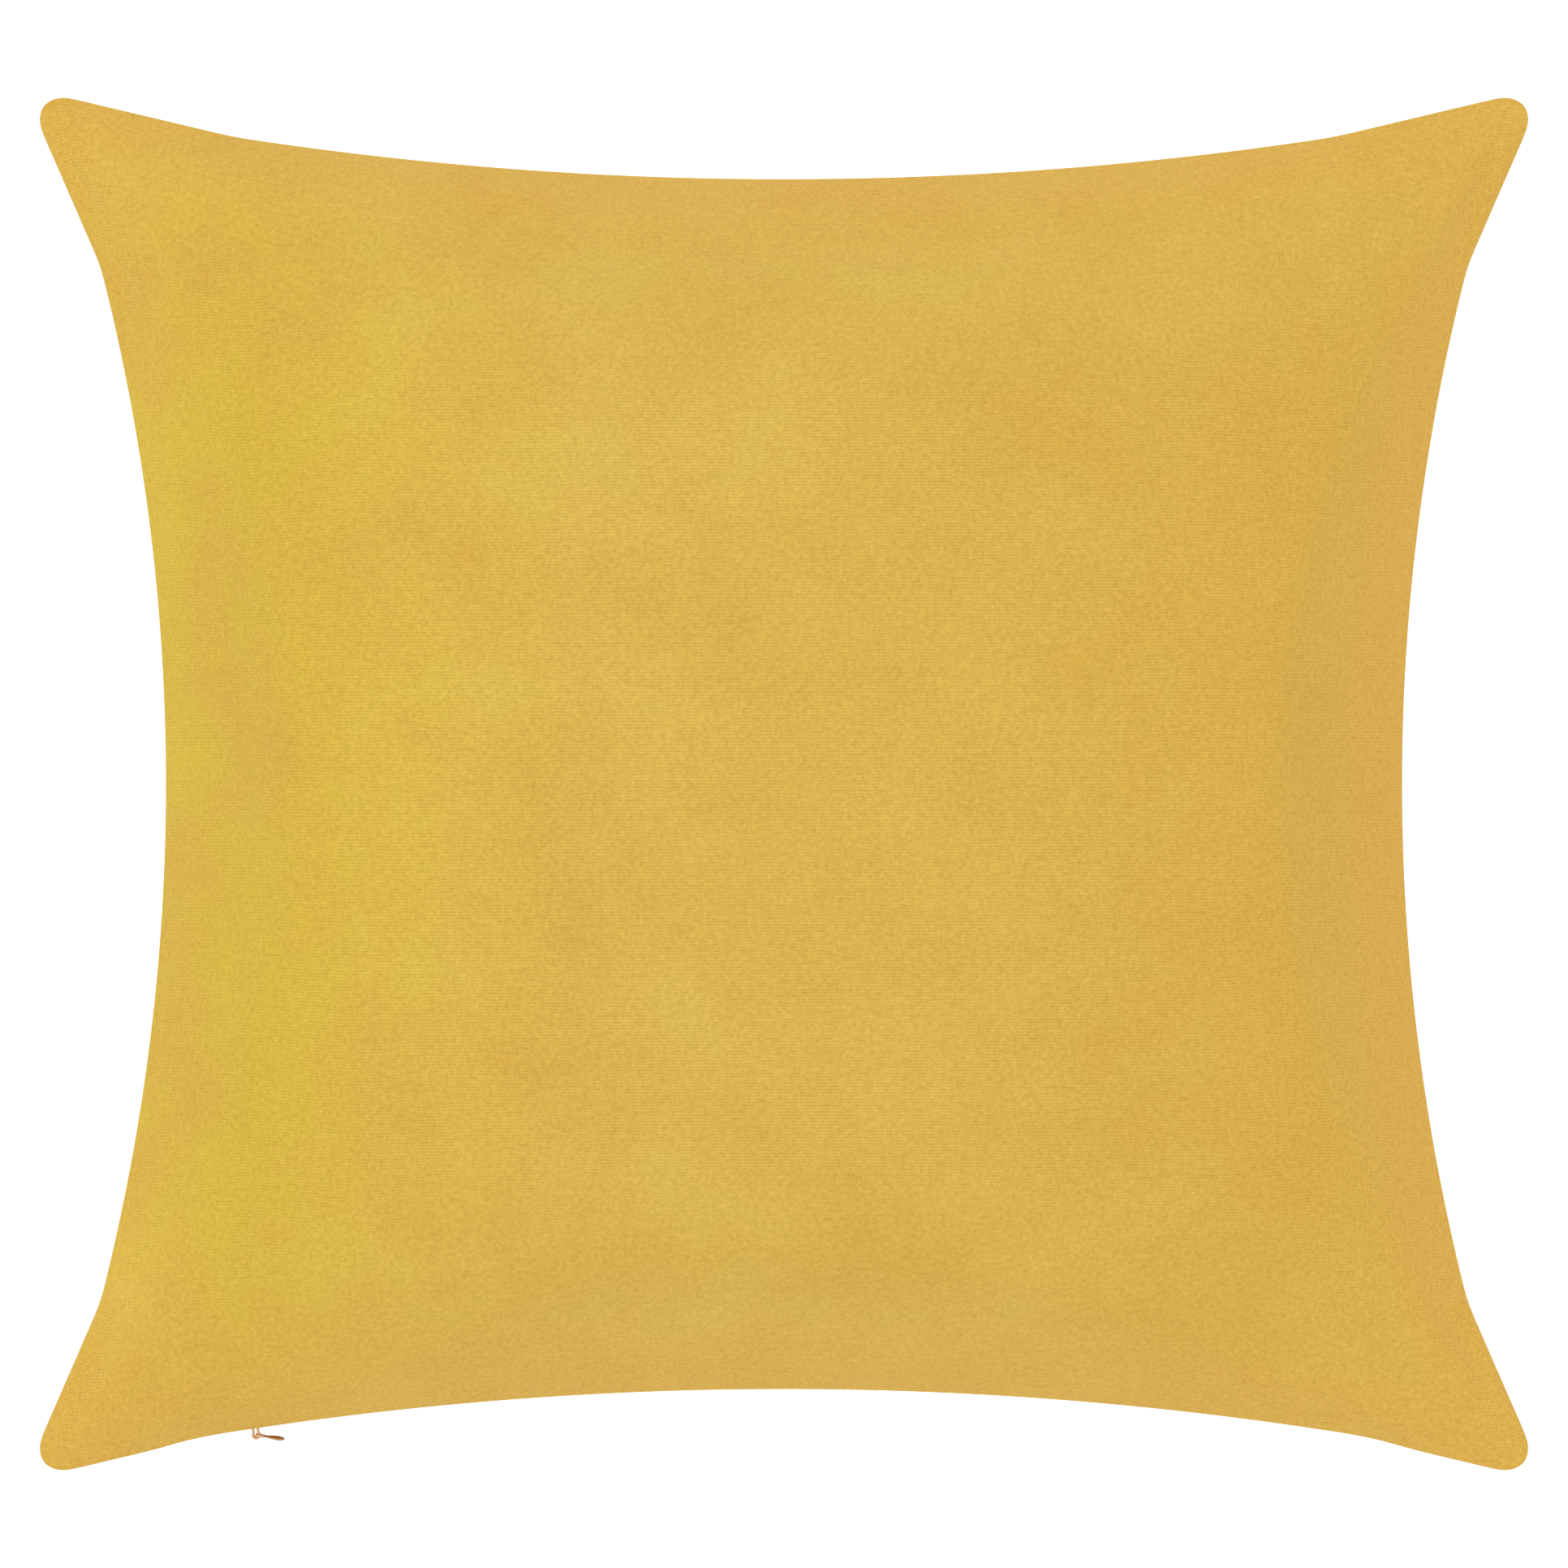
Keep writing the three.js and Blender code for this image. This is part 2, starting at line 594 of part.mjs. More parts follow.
const pillow = new THREE.Group();
pillow.add(
  piece("cover_front_panel", coverFront(), VELVET_LOOK),
  piece("cover_back_panel", coverBack(), VELVET_LOOK),
  piece("cover_seam_thread", seamThread(), THREAD_LOOK),
  piece("cover_overlock_thread", overlockThread(), THREAD_LOOK),
  piece("zip_tape_front", zipTape(), TAPE_LOOK),
  piece("zip_tape_back", turnedOver(zipTape()), TAPE_LOOK),
  piece("zip_coil_front", zipCoil(), COIL_LOOK),
  piece("zip_coil_back", turnedOver(zipCoil()), COIL_LOOK),
  piece("zip_stitching_front", zipStitching(), THREAD_LOOK),
  piece("zip_stitching_back", turnedOver(zipStitching()), THREAD_LOOK),
  piece("zip_top_stop_front", zipStop(-1, [TOUCH / 2, coilTop]), METAL_LOOK),
  piece("zip_top_stop_back", zipStop(-1, [-coilTop, -TOUCH / 2]), METAL_LOOK),
  piece("zip_bottom_stop", zipStop(1, [-coilTop, coilTop]), METAL_LOOK),
  piece("bar_tack_left", barTack(-1), THREAD_LOOK),
  piece("bar_tack_right", barTack(1), THREAD_LOOK),
  piece("insert_front_panel", insertFront(), INSERT_LOOK),
  piece("insert_back_panel", insertBack(), INSERT_LOOK),
  piece("insert_seam_thread", insertSeamThread(), INSERT_LOOK),
  piece("insert_closing_stitch", closingStitch(), INSERT_LOOK),
  piece("fibre_fill", fibreFill(), FIBRE_LOOK),
);

// The slider turns about the arc's centre as it travels, and the pull turns on the bridge.
const travel = new THREE.Group();
travel.position.set(0, zipCentreY, seamZ);
travel.rotation.z = SLIDER_TRAVEL / 2 / endSeam.radius;
travel.add(piece("slider_body", sliderBody(), METAL_LOOK));
const swing = new THREE.Group();
swing.position.set(0, endSeam.radius - BRIDGE_REACH, 0);
swing.rotation.z = -THREE.MathUtils.degToRad(PULL_ANGLE);
swing.add(piece("pull_tab", pullTab(), METAL_LOOK));
travel.add(swing);
pillow.add(travel);

export default pillow;
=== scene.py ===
"""Throw pillow in mustard velvet: the looks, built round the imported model.

Metres, +Z up. The pillow lies on its back, its front faces +Z and its zip is on the -Y side.
"""

import json
import math

import bmesh
import bpy
import numpy as np
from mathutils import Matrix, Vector, noise


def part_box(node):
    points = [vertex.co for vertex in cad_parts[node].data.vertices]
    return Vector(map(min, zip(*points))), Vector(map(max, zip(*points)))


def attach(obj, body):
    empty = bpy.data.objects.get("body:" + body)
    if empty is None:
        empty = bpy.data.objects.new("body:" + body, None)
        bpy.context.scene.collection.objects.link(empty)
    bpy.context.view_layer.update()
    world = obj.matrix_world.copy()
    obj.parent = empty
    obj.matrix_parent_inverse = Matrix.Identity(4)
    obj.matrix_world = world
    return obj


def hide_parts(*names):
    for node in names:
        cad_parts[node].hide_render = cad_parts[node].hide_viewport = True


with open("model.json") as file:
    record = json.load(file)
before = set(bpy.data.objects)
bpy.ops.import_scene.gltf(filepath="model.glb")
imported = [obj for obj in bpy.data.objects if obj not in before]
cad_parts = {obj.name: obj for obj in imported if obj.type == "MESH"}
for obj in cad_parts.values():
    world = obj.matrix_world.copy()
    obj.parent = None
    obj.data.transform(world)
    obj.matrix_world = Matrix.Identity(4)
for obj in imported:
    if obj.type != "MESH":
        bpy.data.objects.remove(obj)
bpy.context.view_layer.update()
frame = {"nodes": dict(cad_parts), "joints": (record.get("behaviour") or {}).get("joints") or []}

MM = 0.001

# ---------------------------------------------------------------- sizes shared with the frame
joints = {joint["name"]: joint for joint in frame["joints"]}
ZIP_CENTRE = Vector(joints["slider_travel"]["pos_m"])
SEAM_Z = ZIP_CENTRE.z

# Seam outline: an arc on each side, straight flares towards rounded corners.
MID_WIDTH = 372.4 * MM
MID_HEIGHT = 364.4 * MM
SIDE_SAG = 19.9 * MM
END_SAG = 12.8 * MM
SIDE_FLARE = 55 * MM
END_FLARE = 65 * MM
SIDE_FLARE_SLOPE = 0.44
END_FLARE_SLOPE = 0.239
CORNER_RADIUS = 8 * MM

# Swelling of each face above the plane of the seam.
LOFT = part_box("cover_front_panel")[1].z - SEAM_Z
SWELL_POWER = 2.3
EDGE_POWER = 0.62

# Cloths, and the room between them.
VELVET = 1.1 * MM
INSERT_CLOTH = 0.5 * MM
LAYER_GAP = 1 * MM
INSERT_INSET = 17 * MM
INSERT_FLANGE = 3.3 * MM
EDGE_ROUND = 14 * MM

# Zip, measured inwards from the seam and up from its plane.
CHAIN_HALF = 164.35 * MM
SLIT_HALF = 166.85 * MM
TAPE_HALF = 175.85 * MM
COIL_DEPTH = 6 * MM
COIL_RISE = 0.72 * MM
TAPE_START = 7.3 * MM
TAPE_END = 16 * MM
TAPE_RISE = 0.4 * MM
TAPE_THICKNESS = 0.5 * MM

# ---------------------------------------------------------------- cloth settings
FACE_CELLS = 84
INSERT_CELLS = 60
GRADING = 0.25  # how much closer the lines lie at the seam than in the middle
CUT_EASE = 1.004  # the cut cloth against the length of the sewn seam
INFLATE_FRAMES = 40
DRAW_IN_FRAMES = 14  # in which the edge comes in to the line of the sewn seam
START_DOME = 6 * MM
START_UNEVEN = 1.5 * MM
START_CREASE = 18 * MM
CLOTH_QUALITY = 5
CLOTH_MASS = 0.0005
AIR_DAMPING = 2
PRESSURE = 140
TENSION = 40
COMPRESSION = 40
SHEAR = 15
BENDING = 0.05
SLOW_ROUNDS = 60
KEPT_SWELL = 0.45  # of what lifts the cloth evenly off the space of the modelled solid
MOST_SHIFT = 16 * MM  # furthest that the cloth may come to lie from the even loft
SIDEWAYS_FULL = 0.55  # of the way to the seam: the sideways shift is kept in full to here
SIDEWAYS_NONE = 0.93  # and not at all from here
TURNED = np.array([1, 1, -1])  # to the back face and to the front again
FLOOR_EASE = 0.5 * MM


# ---------------------------------------------------------------- seam outline
half_width = MID_WIDTH / 2
half_height = MID_HEIGHT / 2
sharp = np.array(
    [
        half_width + SIDE_SAG + SIDE_FLARE * SIDE_FLARE_SLOPE,
        half_height + END_SAG + END_FLARE * END_FLARE_SLOPE,
    ]
)
along_side = np.array([SIDE_FLARE_SLOPE, 1]) / math.hypot(SIDE_FLARE_SLOPE, 1)
along_end = np.array([1, END_FLARE_SLOPE]) / math.hypot(1, END_FLARE_SLOPE)
corner_half_angle = math.acos(float(along_side @ along_end)) / 2
out_of_corner = (along_side + along_end) / np.linalg.norm(along_side + along_end)
corner_middle = sharp - out_of_corner * CORNER_RADIUS / math.sin(corner_half_angle)
corner_tip = corner_middle + out_of_corner * CORNER_RADIUS
flare_end = CORNER_RADIUS / math.tan(corner_half_angle)


def seam_reach(p, middle, sag, half_chord, slope, axis):
    """How far a seam is from the pillow's middle, at a distance p along it."""
    radius = (half_chord**2 + sag**2) / (2 * sag)
    arc = middle + radius - np.sqrt(radius**2 - np.minimum(p, half_chord) ** 2)
    flare = middle + sag + (p - half_chord) * slope
    run = along_side[1] if axis else along_end[0]
    round_from = sharp[axis] - flare_end * run
    round_rise = np.sqrt(np.maximum(CORNER_RADIUS**2 - (p - corner_middle[axis]) ** 2, 0))
    straight = np.where(p < half_chord, arc, flare)
    return np.where(p < round_from, straight, corner_middle[1 - axis] + round_rise)


def side_reach(y):
    return seam_reach(y, half_width, SIDE_SAG, sharp[1] - SIDE_FLARE, SIDE_FLARE_SLOPE, 1)


def end_reach(x):
    return seam_reach(x, half_height, END_SAG, sharp[0] - END_FLARE, END_FLARE_SLOPE, 0)


def plan(t, s):
    """A point of the plan from its place across and up the cloth, each from -1 to 1."""
    x = t * side_reach(np.abs(s) * corner_tip[1])
    y = s * end_reach(np.abs(t) * corner_tip[0])
    return x, y


def inwards(t, s, depth):
    """The same place on a smaller outline, a depth in from the seam."""
    return t * (1 - depth / half_width), s * (1 - depth / half_height)


def smoothstep(value, start, end):
    share = np.clip((value - start) / (end - start), 0, 1)
    return share * share * (3 - 2 * share)


def grid_lines(cells):
    u = np.linspace(-1, 1, cells + 1)
    return u * (1 + GRADING) - GRADING * u**3


# ---------------------------------------------------------------- meshes
def collection():
    return bpy.context.scene.collection


def mesh_object(name, points, faces, edges=()):
    mesh = bpy.data.meshes.new(name)
    mesh.from_pydata([tuple(p) for p in points], list(edges), list(faces))
    mesh.update()
    made = bpy.data.objects.new(name, mesh)
    collection().objects.link(made)
    return made


def shade_smooth(piece, angle=None):
    piece.data.polygons.foreach_set("use_smooth", [True] * len(piece.data.polygons))
    if angle is not None:
        piece.data.set_sharp_from_angle(angle=angle)


def grid_faces(columns, rows, first=0):
    """Squares of a grid of points, facing +Z when its rows run up Y."""
    faces = []
    for row in range(rows):
        for column in range(columns):
            a = first + row * (columns + 1) + column
            faces.append((a, a + 1, a + columns + 2, a + columns + 1))
    return faces


def rim_loop(cells):
    """The grid's border, anticlockwise from its lowest left point."""
    last = cells + 1
    bottom = list(range(cells))
    right = [row * last + cells for row in range(cells)]
    top = [cells * last + column for column in range(cells, 0, -1)]
    left = [row * last for row in range(cells, 0, -1)]
    return bottom + right + top + left


def strip_faces(outer, inner):
    """Squares between two closed loops of points."""
    following = range(1, len(outer) + 1)
    return [
        (outer[n % len(outer)], outer[n - 1], inner[n - 1], inner[n % len(outer)])
        for n in following
    ]


def tube_faces(rings, sides):
    """Squares round a row of rings of points, and a face on each end."""
    faces = []
    for ring in range(rings - 1):
        for n in range(sides):
            a = ring * sides + n
            b = ring * sides + (n + 1) % sides
            faces.append((a, b, b + sides, a + sides))
    last = (rings - 1) * sides
    faces.append(tuple(range(sides - 1, -1, -1)))
    faces.append(tuple(range(last, last + sides)))
    return faces


def swept(name, section, path_points):
    """A closed section, as (side, up) pairs, drawn along points that each have a side vector."""
    points = []
    for place, side in path_points:
        points += [place + side * depth + Vector((0, 0, up)) for depth, up in section]
    made = mesh_object(name, points, tube_faces(len(path_points), len(section)))
    face_outwards(made)
    return made


def face_outwards(piece):
    work = bmesh.new()
    work.from_mesh(piece.data)
    bmesh.ops.recalc_face_normals(work, faces=work.faces)
    work.to_mesh(piece.data)
    work.free()


def subdivide(piece):
    finer = piece.modifiers.new("finer", "SUBSURF")
    finer.levels = 1
    finer.render_levels = 1


def give_thickness(piece, thickness):
    wall = piece.modifiers.new("cloth_thickness", "SOLIDIFY")
    wall.thickness = thickness
    wall.offset = 0
    wall.use_even_offset = False


def finish_piece(piece, body, slot, *nodes):
    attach(piece, body)
    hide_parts(*nodes)


# ---------------------------------------------------------------- cover: fold at the seam
# Middle of the cloth's thickness, as depth in from the seam and height from its plane. The
# first point is where the face ends, then the cloth rolls over the fold and runs inwards.
FOLD_RADIUS = 0.6 * MM
FOLD_DEPTH = 1.3 * MM
FOLD_ANGLES = [20, -5, -30, -60, -90]


def fold(rise):
    angles = [math.radians(angle) for angle in FOLD_ANGLES]
    return [
        (FOLD_DEPTH - FOLD_RADIUS * math.cos(a), rise + FOLD_RADIUS * (1 + math.sin(a)))
        for a in angles
    ]


PLAIN_RISE = 0.7 * MM
plain_profile = fold(PLAIN_RISE) + [
    (depth * MM, PLAIN_RISE) for depth in (2.2, 3.6, 5, 6.4, 7.8, 9.2, 10.4, 11)
]
LIP_RISE = 1.32 * MM
HEM_OVER = 3.6 * MM
HEM_ON_TAPE = 1.5 * MM
zip_profile = fold(LIP_RISE) + [
    (1.9 * MM, 1.95 * MM),
    (2.8 * MM, 3.0 * MM),
    (3.8 * MM, HEM_OVER),
    (8.2 * MM, HEM_OVER),
    (9.2 * MM, 2.7 * MM),
    (10.3 * MM, HEM_ON_TAPE),
    (13.2 * MM, HEM_ON_TAPE),
    (TAPE_END, HEM_ON_TAPE),
]
ZIP_CLOSING = 5 * MM
HEM_PAST_TAPE = 0.5 * MM
ARC_EASE = 15 * MM  # past the tape, where the hem's arc turns into the seam's outline
LIP_SHARE = 0.08  # of the half height, over which the zip's lip settles into the face
NEAR_SEAM = 0.8  # of the way to the seam, from where the pile counts as being near it and takes the worn tone with painted sheen


def zip_share(x, s, step):
    """How far a point of the profile belongs to the zip: 1 along it, 0 past its ends."""
    start = SLIT_HALF + (TAPE_HALF + HEM_PAST_TAPE - SLIT_HALF) * step / (len(zip_profile) - 1)
    return np.where(s <= -1, 1 - smoothstep(np.abs(x), start, start + ZIP_CLOSING), 0.0)


def rim_rise(t, s):
    x = t * corner_tip[0]
    share = zip_share(x, s, 0)
    return plain_profile[0][1] * (1 - share) + zip_profile[0][1] * share


def profile_ring(t, s, step):
    """One loop of the turned-in cloth, round the whole cover."""
    x = t * corner_tip[0]
    share = zip_share(x, s, step)
    depth = plain_profile[step][0] * (1 - share) + zip_profile[step][0] * share
    rise = plain_profile[step][1] * (1 - share) + zip_profile[step][1] * share
    plain_x, plain_y = plan(*inwards(t, s, depth))
    zip_radius = -half_height - ZIP_CENTRE.y
    angle = np.arcsin(x / zip_radius)
    zip_x = (zip_radius + depth) * np.sin(angle)
    zip_y = ZIP_CENTRE.y + (zip_radius + depth) * np.cos(angle)
    past_tape = smoothstep(np.abs(x), TAPE_HALF, TAPE_HALF + ARC_EASE)
    on_arc = np.where(s <= -1, 1 - past_tape, 0.0)
    ring_x = plain_x + (zip_x - plain_x) * on_arc
    ring_y = plain_y + (zip_y - plain_y) * on_arc
    return np.stack([ring_x, ring_y, rise], axis=-1)


# ---------------------------------------------------------------- cover: faces
def swell(share):
    return (1 - (1 - share) ** SWELL_POWER) ** EDGE_POWER


def lofted_face(lines):
    """Middle of the velvet of one face, above the seam's plane, before it is inflated."""
    t, s = np.meshgrid(lines, lines)
    x, y = plan(*inwards(t, s, plain_profile[0][0]))
    top = LOFT - VELVET / 2
    low = plain_profile[0][1]
    height = low + (top - low) * swell(1 - np.abs(t)) * swell(1 - np.abs(s))
    lip = rim_rise(t, np.full_like(s, -1.0)) - low
    height += lip * (1 - smoothstep(1 + s, 0, LIP_SHARE))
    return np.stack([x, y, height], axis=-1)


def seam_length(lines, side):
    """Half of the length of a seam, which is half of the side that the cloth was cut to."""
    ends = np.ones_like(lines)
    x, y = plan(ends, lines) if side else plan(lines, ends)
    return float(np.hypot(np.diff(x), np.diff(y)).sum()) / 2


face_lines = grid_lines(FACE_CELLS)
cut_half_width = seam_length(face_lines, side=False) * CUT_EASE
cut_half_height = seam_length(face_lines, side=True) * CUT_EASE


def cut_places(lines):
    """The same points on the flat cloth, as it was cut."""
    t, s = np.meshgrid(lines, lines)
    return np.stack([t * cut_half_width, s * cut_half_height, np.zeros_like(t)], axis=-1)


def inflated_faces(front, back):
    """Both faces blown up from the flat cut cloth while their edge is drawn in to the sewn seam."""
    count = front.shape[0] * front.shape[1]
    dome = (1 - face_lines[None, :] ** 2) * (1 - face_lines[:, None] ** 2) * START_DOME
    cut = cut_places(face_lines)
    cut[..., 2] = plain_profile[0][1] + dome
    start = np.concatenate([cut.reshape(-1, 3), (cut * TURNED).reshape(-1, 3)])
    start[:, 2] += [noise.noise(Vector(place) / START_CREASE) * START_UNEVEN for place in start]
    target = np.concatenate([front.reshape(-1, 3), back.reshape(-1, 3)])
    loop = rim_loop(FACE_CELLS)
    below = [count + n for n in loop]
    upper = grid_faces(FACE_CELLS, FACE_CELLS)
    lower = [face[::-1] for face in grid_faces(FACE_CELLS, FACE_CELLS, count)]
    bag = mesh_object("bag", start, upper + lower + strip_faces(loop, below))
    bag.shape_key_add(name="cut")
    sewn = bag.shape_key_add(name="sewn")
    sewn.data.foreach_set("co", target.ravel())
    sewn.keyframe_insert("value", frame=1)
    sewn.value = 1
    sewn.keyframe_insert("value", frame=DRAW_IN_FRAMES)
    held = bag.vertex_groups.new(name="seam")
    held.add(loop + below, 1, "REPLACE")
    cloth = bag.modifiers.new("inflate", "CLOTH")
    settings = cloth.settings
    settings.quality = CLOTH_QUALITY
    settings.mass = CLOTH_MASS
    settings.tension_stiffness = TENSION
    settings.compression_stiffness = COMPRESSION
    settings.shear_stiffness = SHEAR
    settings.bending_stiffness = BENDING
    settings.air_damping = AIR_DAMPING
    settings.vertex_group_mass = "seam"
    settings.use_pressure = True
    settings.uniform_pressure_force = PRESSURE
    settings.effector_weights.gravity = 0
    cloth.collision_settings.use_collision = False
    cloth.collision_settings.use_self_collision = False
    cloth.point_cache.frame_start = 1
    cloth.point_cache.frame_end = INFLATE_FRAMES
    scene = bpy.context.scene
    for number in range(1, INFLATE_FRAMES + 1):
        scene.frame_set(number)
    graph = bpy.context.evaluated_depsgraph_get()
    blown = bag.evaluated_get(graph)
    found = np.zeros(len(start) * 3, np.float32)
    blown.data.vertices.foreach_get("co", found)
    bpy.data.objects.remove(bag)
    scene.frame_set(1)
    found = found.reshape(-1, 3).astype(float)
    found[:, 2] *= LOFT / found[:, 2].max()
    shift = (found - target).reshape(2, *front.shape)
    near_rim = np.maximum(np.abs(face_lines)[None, :], np.abs(face_lines)[:, None])
    shift[..., :2] *= 1 - smoothstep(near_rim, SIDEWAYS_FULL, SIDEWAYS_NONE)[..., None]
    return tuple(
        face + capped(kept_creases(moved)) for face, moved in zip((front, back), shift)
    )


def kept_creases(shift):
    """The creases of a shift in full, and of its slow swelling only a share."""
    slow = relaxed(shift.copy(), SLOW_ROUNDS)
    return shift - slow + slow * KEPT_SWELL


def capped(shift):
    length = np.linalg.norm(shift, axis=-1, keepdims=True) + 1e-9
    return shift * MOST_SHIFT * np.tanh(length / MOST_SHIFT) / length


def relaxed(face, rounds=1):
    """The face with each inner point drawn towards its neighbours."""
    for _ in range(rounds):
        middle = (face[:-2, 1:-1] + face[2:, 1:-1] + face[1:-1, :-2] + face[1:-1, 2:]) / 4
        face[1:-1, 1:-1] += (middle - face[1:-1, 1:-1]) / 2
    return face


def rested(face, lowest):
    """The back face where it lies: no lower than a height, with an eased edge."""
    over = SEAM_Z + face[..., 2] - lowest
    eased = (over + np.sqrt(over**2 + 4 * FLOOR_EASE**2)) / 2
    face[..., 2] = lowest + eased - SEAM_Z
    return face


def cover_faces():
    """Middle of the velvet of the front and back faces, from the seam's plane."""
    front = lofted_face(face_lines)
    back = front * TURNED
    front, back = inflated_faces(front, back)
    front = relaxed(front)
    back = relaxed(back)
    return front, rested(back, VELVET / 2)


def cover_panel(name, face, side):
    """A face with its turned-in seam allowance and zip hem, as one sheet of velvet."""
    loop = rim_loop(FACE_CELLS)
    t, s = np.meshgrid(face_lines, face_lines)
    t_rim = t.ravel()[loop]
    s_rim = s.ravel()[loop]
    points = [face.reshape(-1, 3)]
    faces = grid_faces(FACE_CELLS, FACE_CELLS)
    outer = loop
    first = face.shape[0] * face.shape[1]
    for step in range(1, len(plain_profile)):
        ring = profile_ring(t_rim, s_rim, step) * np.array([1, 1, side])
        inner = list(range(first, first + len(loop)))
        points.append(ring)
        faces += strip_faces(outer, inner)
        outer = inner
        first += len(loop)
    if side < 0:
        faces = [square[::-1] for square in faces]
    places = np.concatenate(points) + np.array([0, 0, SEAM_Z])
    panel = mesh_object(name, places, faces)
    lay_cut_map(panel, t, s, t_rim, s_rim)
    shade_smooth(panel)
    give_thickness(panel, VELVET)
    subdivide(panel)
    return panel


def lay_cut_map(panel, t, s, t_rim, s_rim):
    """A map of the cloth as it was cut, in metres, and how near each point is to the seam."""
    cut = [np.stack([t.ravel() * cut_half_width, s.ravel() * cut_half_height], axis=-1)]
    near = [smoothstep(np.maximum(np.abs(t), np.abs(s)).ravel(), NEAR_SEAM, 1)]
    for step in range(1, len(plain_profile)):
        run = 1 + plain_profile[step][0] / half_width
        cut.append(np.stack([t_rim * cut_half_width * run, s_rim * cut_half_height * run], axis=-1))
        near.append(np.ones_like(t_rim))
    cut = np.concatenate(cut)
    mesh = panel.data
    corners = np.zeros(len(mesh.loops), np.int32)
    mesh.loops.foreach_get("vertex_index", corners)
    layer = mesh.uv_layers.new(name="cut")
    layer.uv.foreach_set("vector", cut[corners].astype(np.float32).ravel())
    seam = mesh.attributes.new("near_seam", "FLOAT", "POINT")
    seam.data.foreach_set("value", np.concatenate(near).astype(np.float32))


# ---------------------------------------------------------------- insert and fill
PUCKER_DEPTH = 0.12
SIDE_PUCKER = 17 * MM
END_PUCKER = 19 * MM
SIDE_LEAN = 3  # radians by which the waves of the puckers are shifted at each edge
END_LEAN = 2
INSERT_APART = 0.15 * MM  # from each of the insert's cloths to the plane between them
FILL_INSIDE = 1.4 * MM


def normals_of(face):
    """Unit vectors out of a face, which point up on a front one."""
    across = np.gradient(face, axis=1)
    up = np.gradient(face, axis=0)
    normal = np.cross(across, up)
    return normal / np.linalg.norm(normal, axis=-1, keepdims=True)


def sampled(grid, t, s):
    """Values of a grid on the face's lines at other places, between its points."""
    across = np.interp(t, face_lines, np.arange(len(face_lines)))
    up = np.interp(s, face_lines, np.arange(len(face_lines)))
    column = np.minimum(across.astype(int), len(face_lines) - 2)
    row = np.minimum(up.astype(int), len(face_lines) - 2)
    a = (across - column)[..., None]
    b = (up - row)[..., None]
    low = grid[row, column] * (1 - a) + grid[row, column + 1] * a
    high = grid[row + 1, column] * (1 - a) + grid[row + 1, column + 1] * a
    return low * (1 - b) + high * b


def rounded_rise(distance, start, puckers):
    """From 0 at the start to 1, as a quarter round, less where the cloth puckers."""
    share = np.clip((distance - start) / EDGE_ROUND, 0, 1)
    fade = np.exp(-np.maximum(distance - start, 0) / EDGE_ROUND)
    return np.sqrt(1 - (1 - share) ** 2) * (1 - puckers * fade)


def inner_face(face, side, start, clearance):
    """A face inside the cover: its inset outline, a clearance under the velvet's middle."""
    lines = grid_lines(INSERT_CELLS)
    t, s = np.meshgrid(lines, lines)
    t_cover, s_cover = inwards(t, s, INSERT_INSET)
    inner = face - normals_of(face) * clearance * side
    found = sampled(inner, t_cover, s_cover)
    from_side = (1 - np.abs(t)) * (half_width - INSERT_INSET)
    from_end = (1 - np.abs(s)) * (half_height - INSERT_INSET)
    wave_side = 0.5 + 0.5 * np.sin(found[..., 1] * 2 * math.pi / SIDE_PUCKER + SIDE_LEAN * t)
    wave_end = 0.5 + 0.5 * np.sin(found[..., 0] * 2 * math.pi / END_PUCKER + END_LEAN * s)
    rise = rounded_rise(from_side, start, PUCKER_DEPTH * wave_side)
    rise = rise * rounded_rise(from_end, start, PUCKER_DEPTH * wave_end)
    found[..., 2] *= rise
    return found


def insert_panel(name, face, side):
    clearance = VELVET / 2 + LAYER_GAP + INSERT_CLOTH / 2
    found = inner_face(face, side, INSERT_FLANGE, clearance)
    lowest = side * (INSERT_CLOTH / 2 + INSERT_APART)
    found[..., 2] = side * np.maximum(side * found[..., 2], side * lowest)
    places = found.reshape(-1, 3) + np.array([0, 0, SEAM_Z])
    faces = grid_faces(INSERT_CELLS, INSERT_CELLS)
    if side < 0:
        faces = [square[::-1] for square in faces]
    panel = mesh_object(name, places, faces)
    shade_smooth(panel)
    give_thickness(panel, INSERT_CLOTH)
    subdivide(panel)
    return panel


LUMP = 3.5 * MM
LUMP_SCALE = 26


def fill_body(front, back):
    """Loose fibre in soft lumps, closed where its two faces meet."""
    clearance = VELVET / 2 + 2 * LAYER_GAP + INSERT_CLOTH
    start = INSERT_FLANGE + FILL_INSIDE
    faces = []
    for face, side in ((front, 1), (back, -1)):
        found = inner_face(face, side, start, clearance)
        lumps = [
            noise.turbulence(Vector(p) * LUMP_SCALE, 3, False) for p in found.reshape(-1, 3)
        ]
        sunk = 1 - LUMP / LOFT * np.clip(np.array(lumps).reshape(found.shape[:2]), 0, 1.5)
        found[..., 2] *= sunk
        faces.append(found[2:-2, 2:-2])
    cells = faces[0].shape[0] - 1
    count = (cells + 1) ** 2
    places = np.concatenate([faces[0].reshape(-1, 3), faces[1].reshape(-1, 3)])
    loop = rim_loop(cells)
    squares = grid_faces(cells, cells)
    squares += [square[::-1] for square in grid_faces(cells, cells, count)]
    squares += strip_faces(loop, [count + n for n in loop])
    body = mesh_object("fibre_filling", places + np.array([0, 0, SEAM_Z]), squares)
    merge_close(body, 0.05 * MM)
    shade_smooth(body)
    subdivide(body)
    return body


def merge_close(piece, distance):
    work = bmesh.new()
    work.from_mesh(piece.data)
    bmesh.ops.remove_doubles(work, verts=work.verts, dist=distance)
    bmesh.ops.recalc_face_normals(work, faces=work.faces)
    work.to_mesh(piece.data)
    work.free()


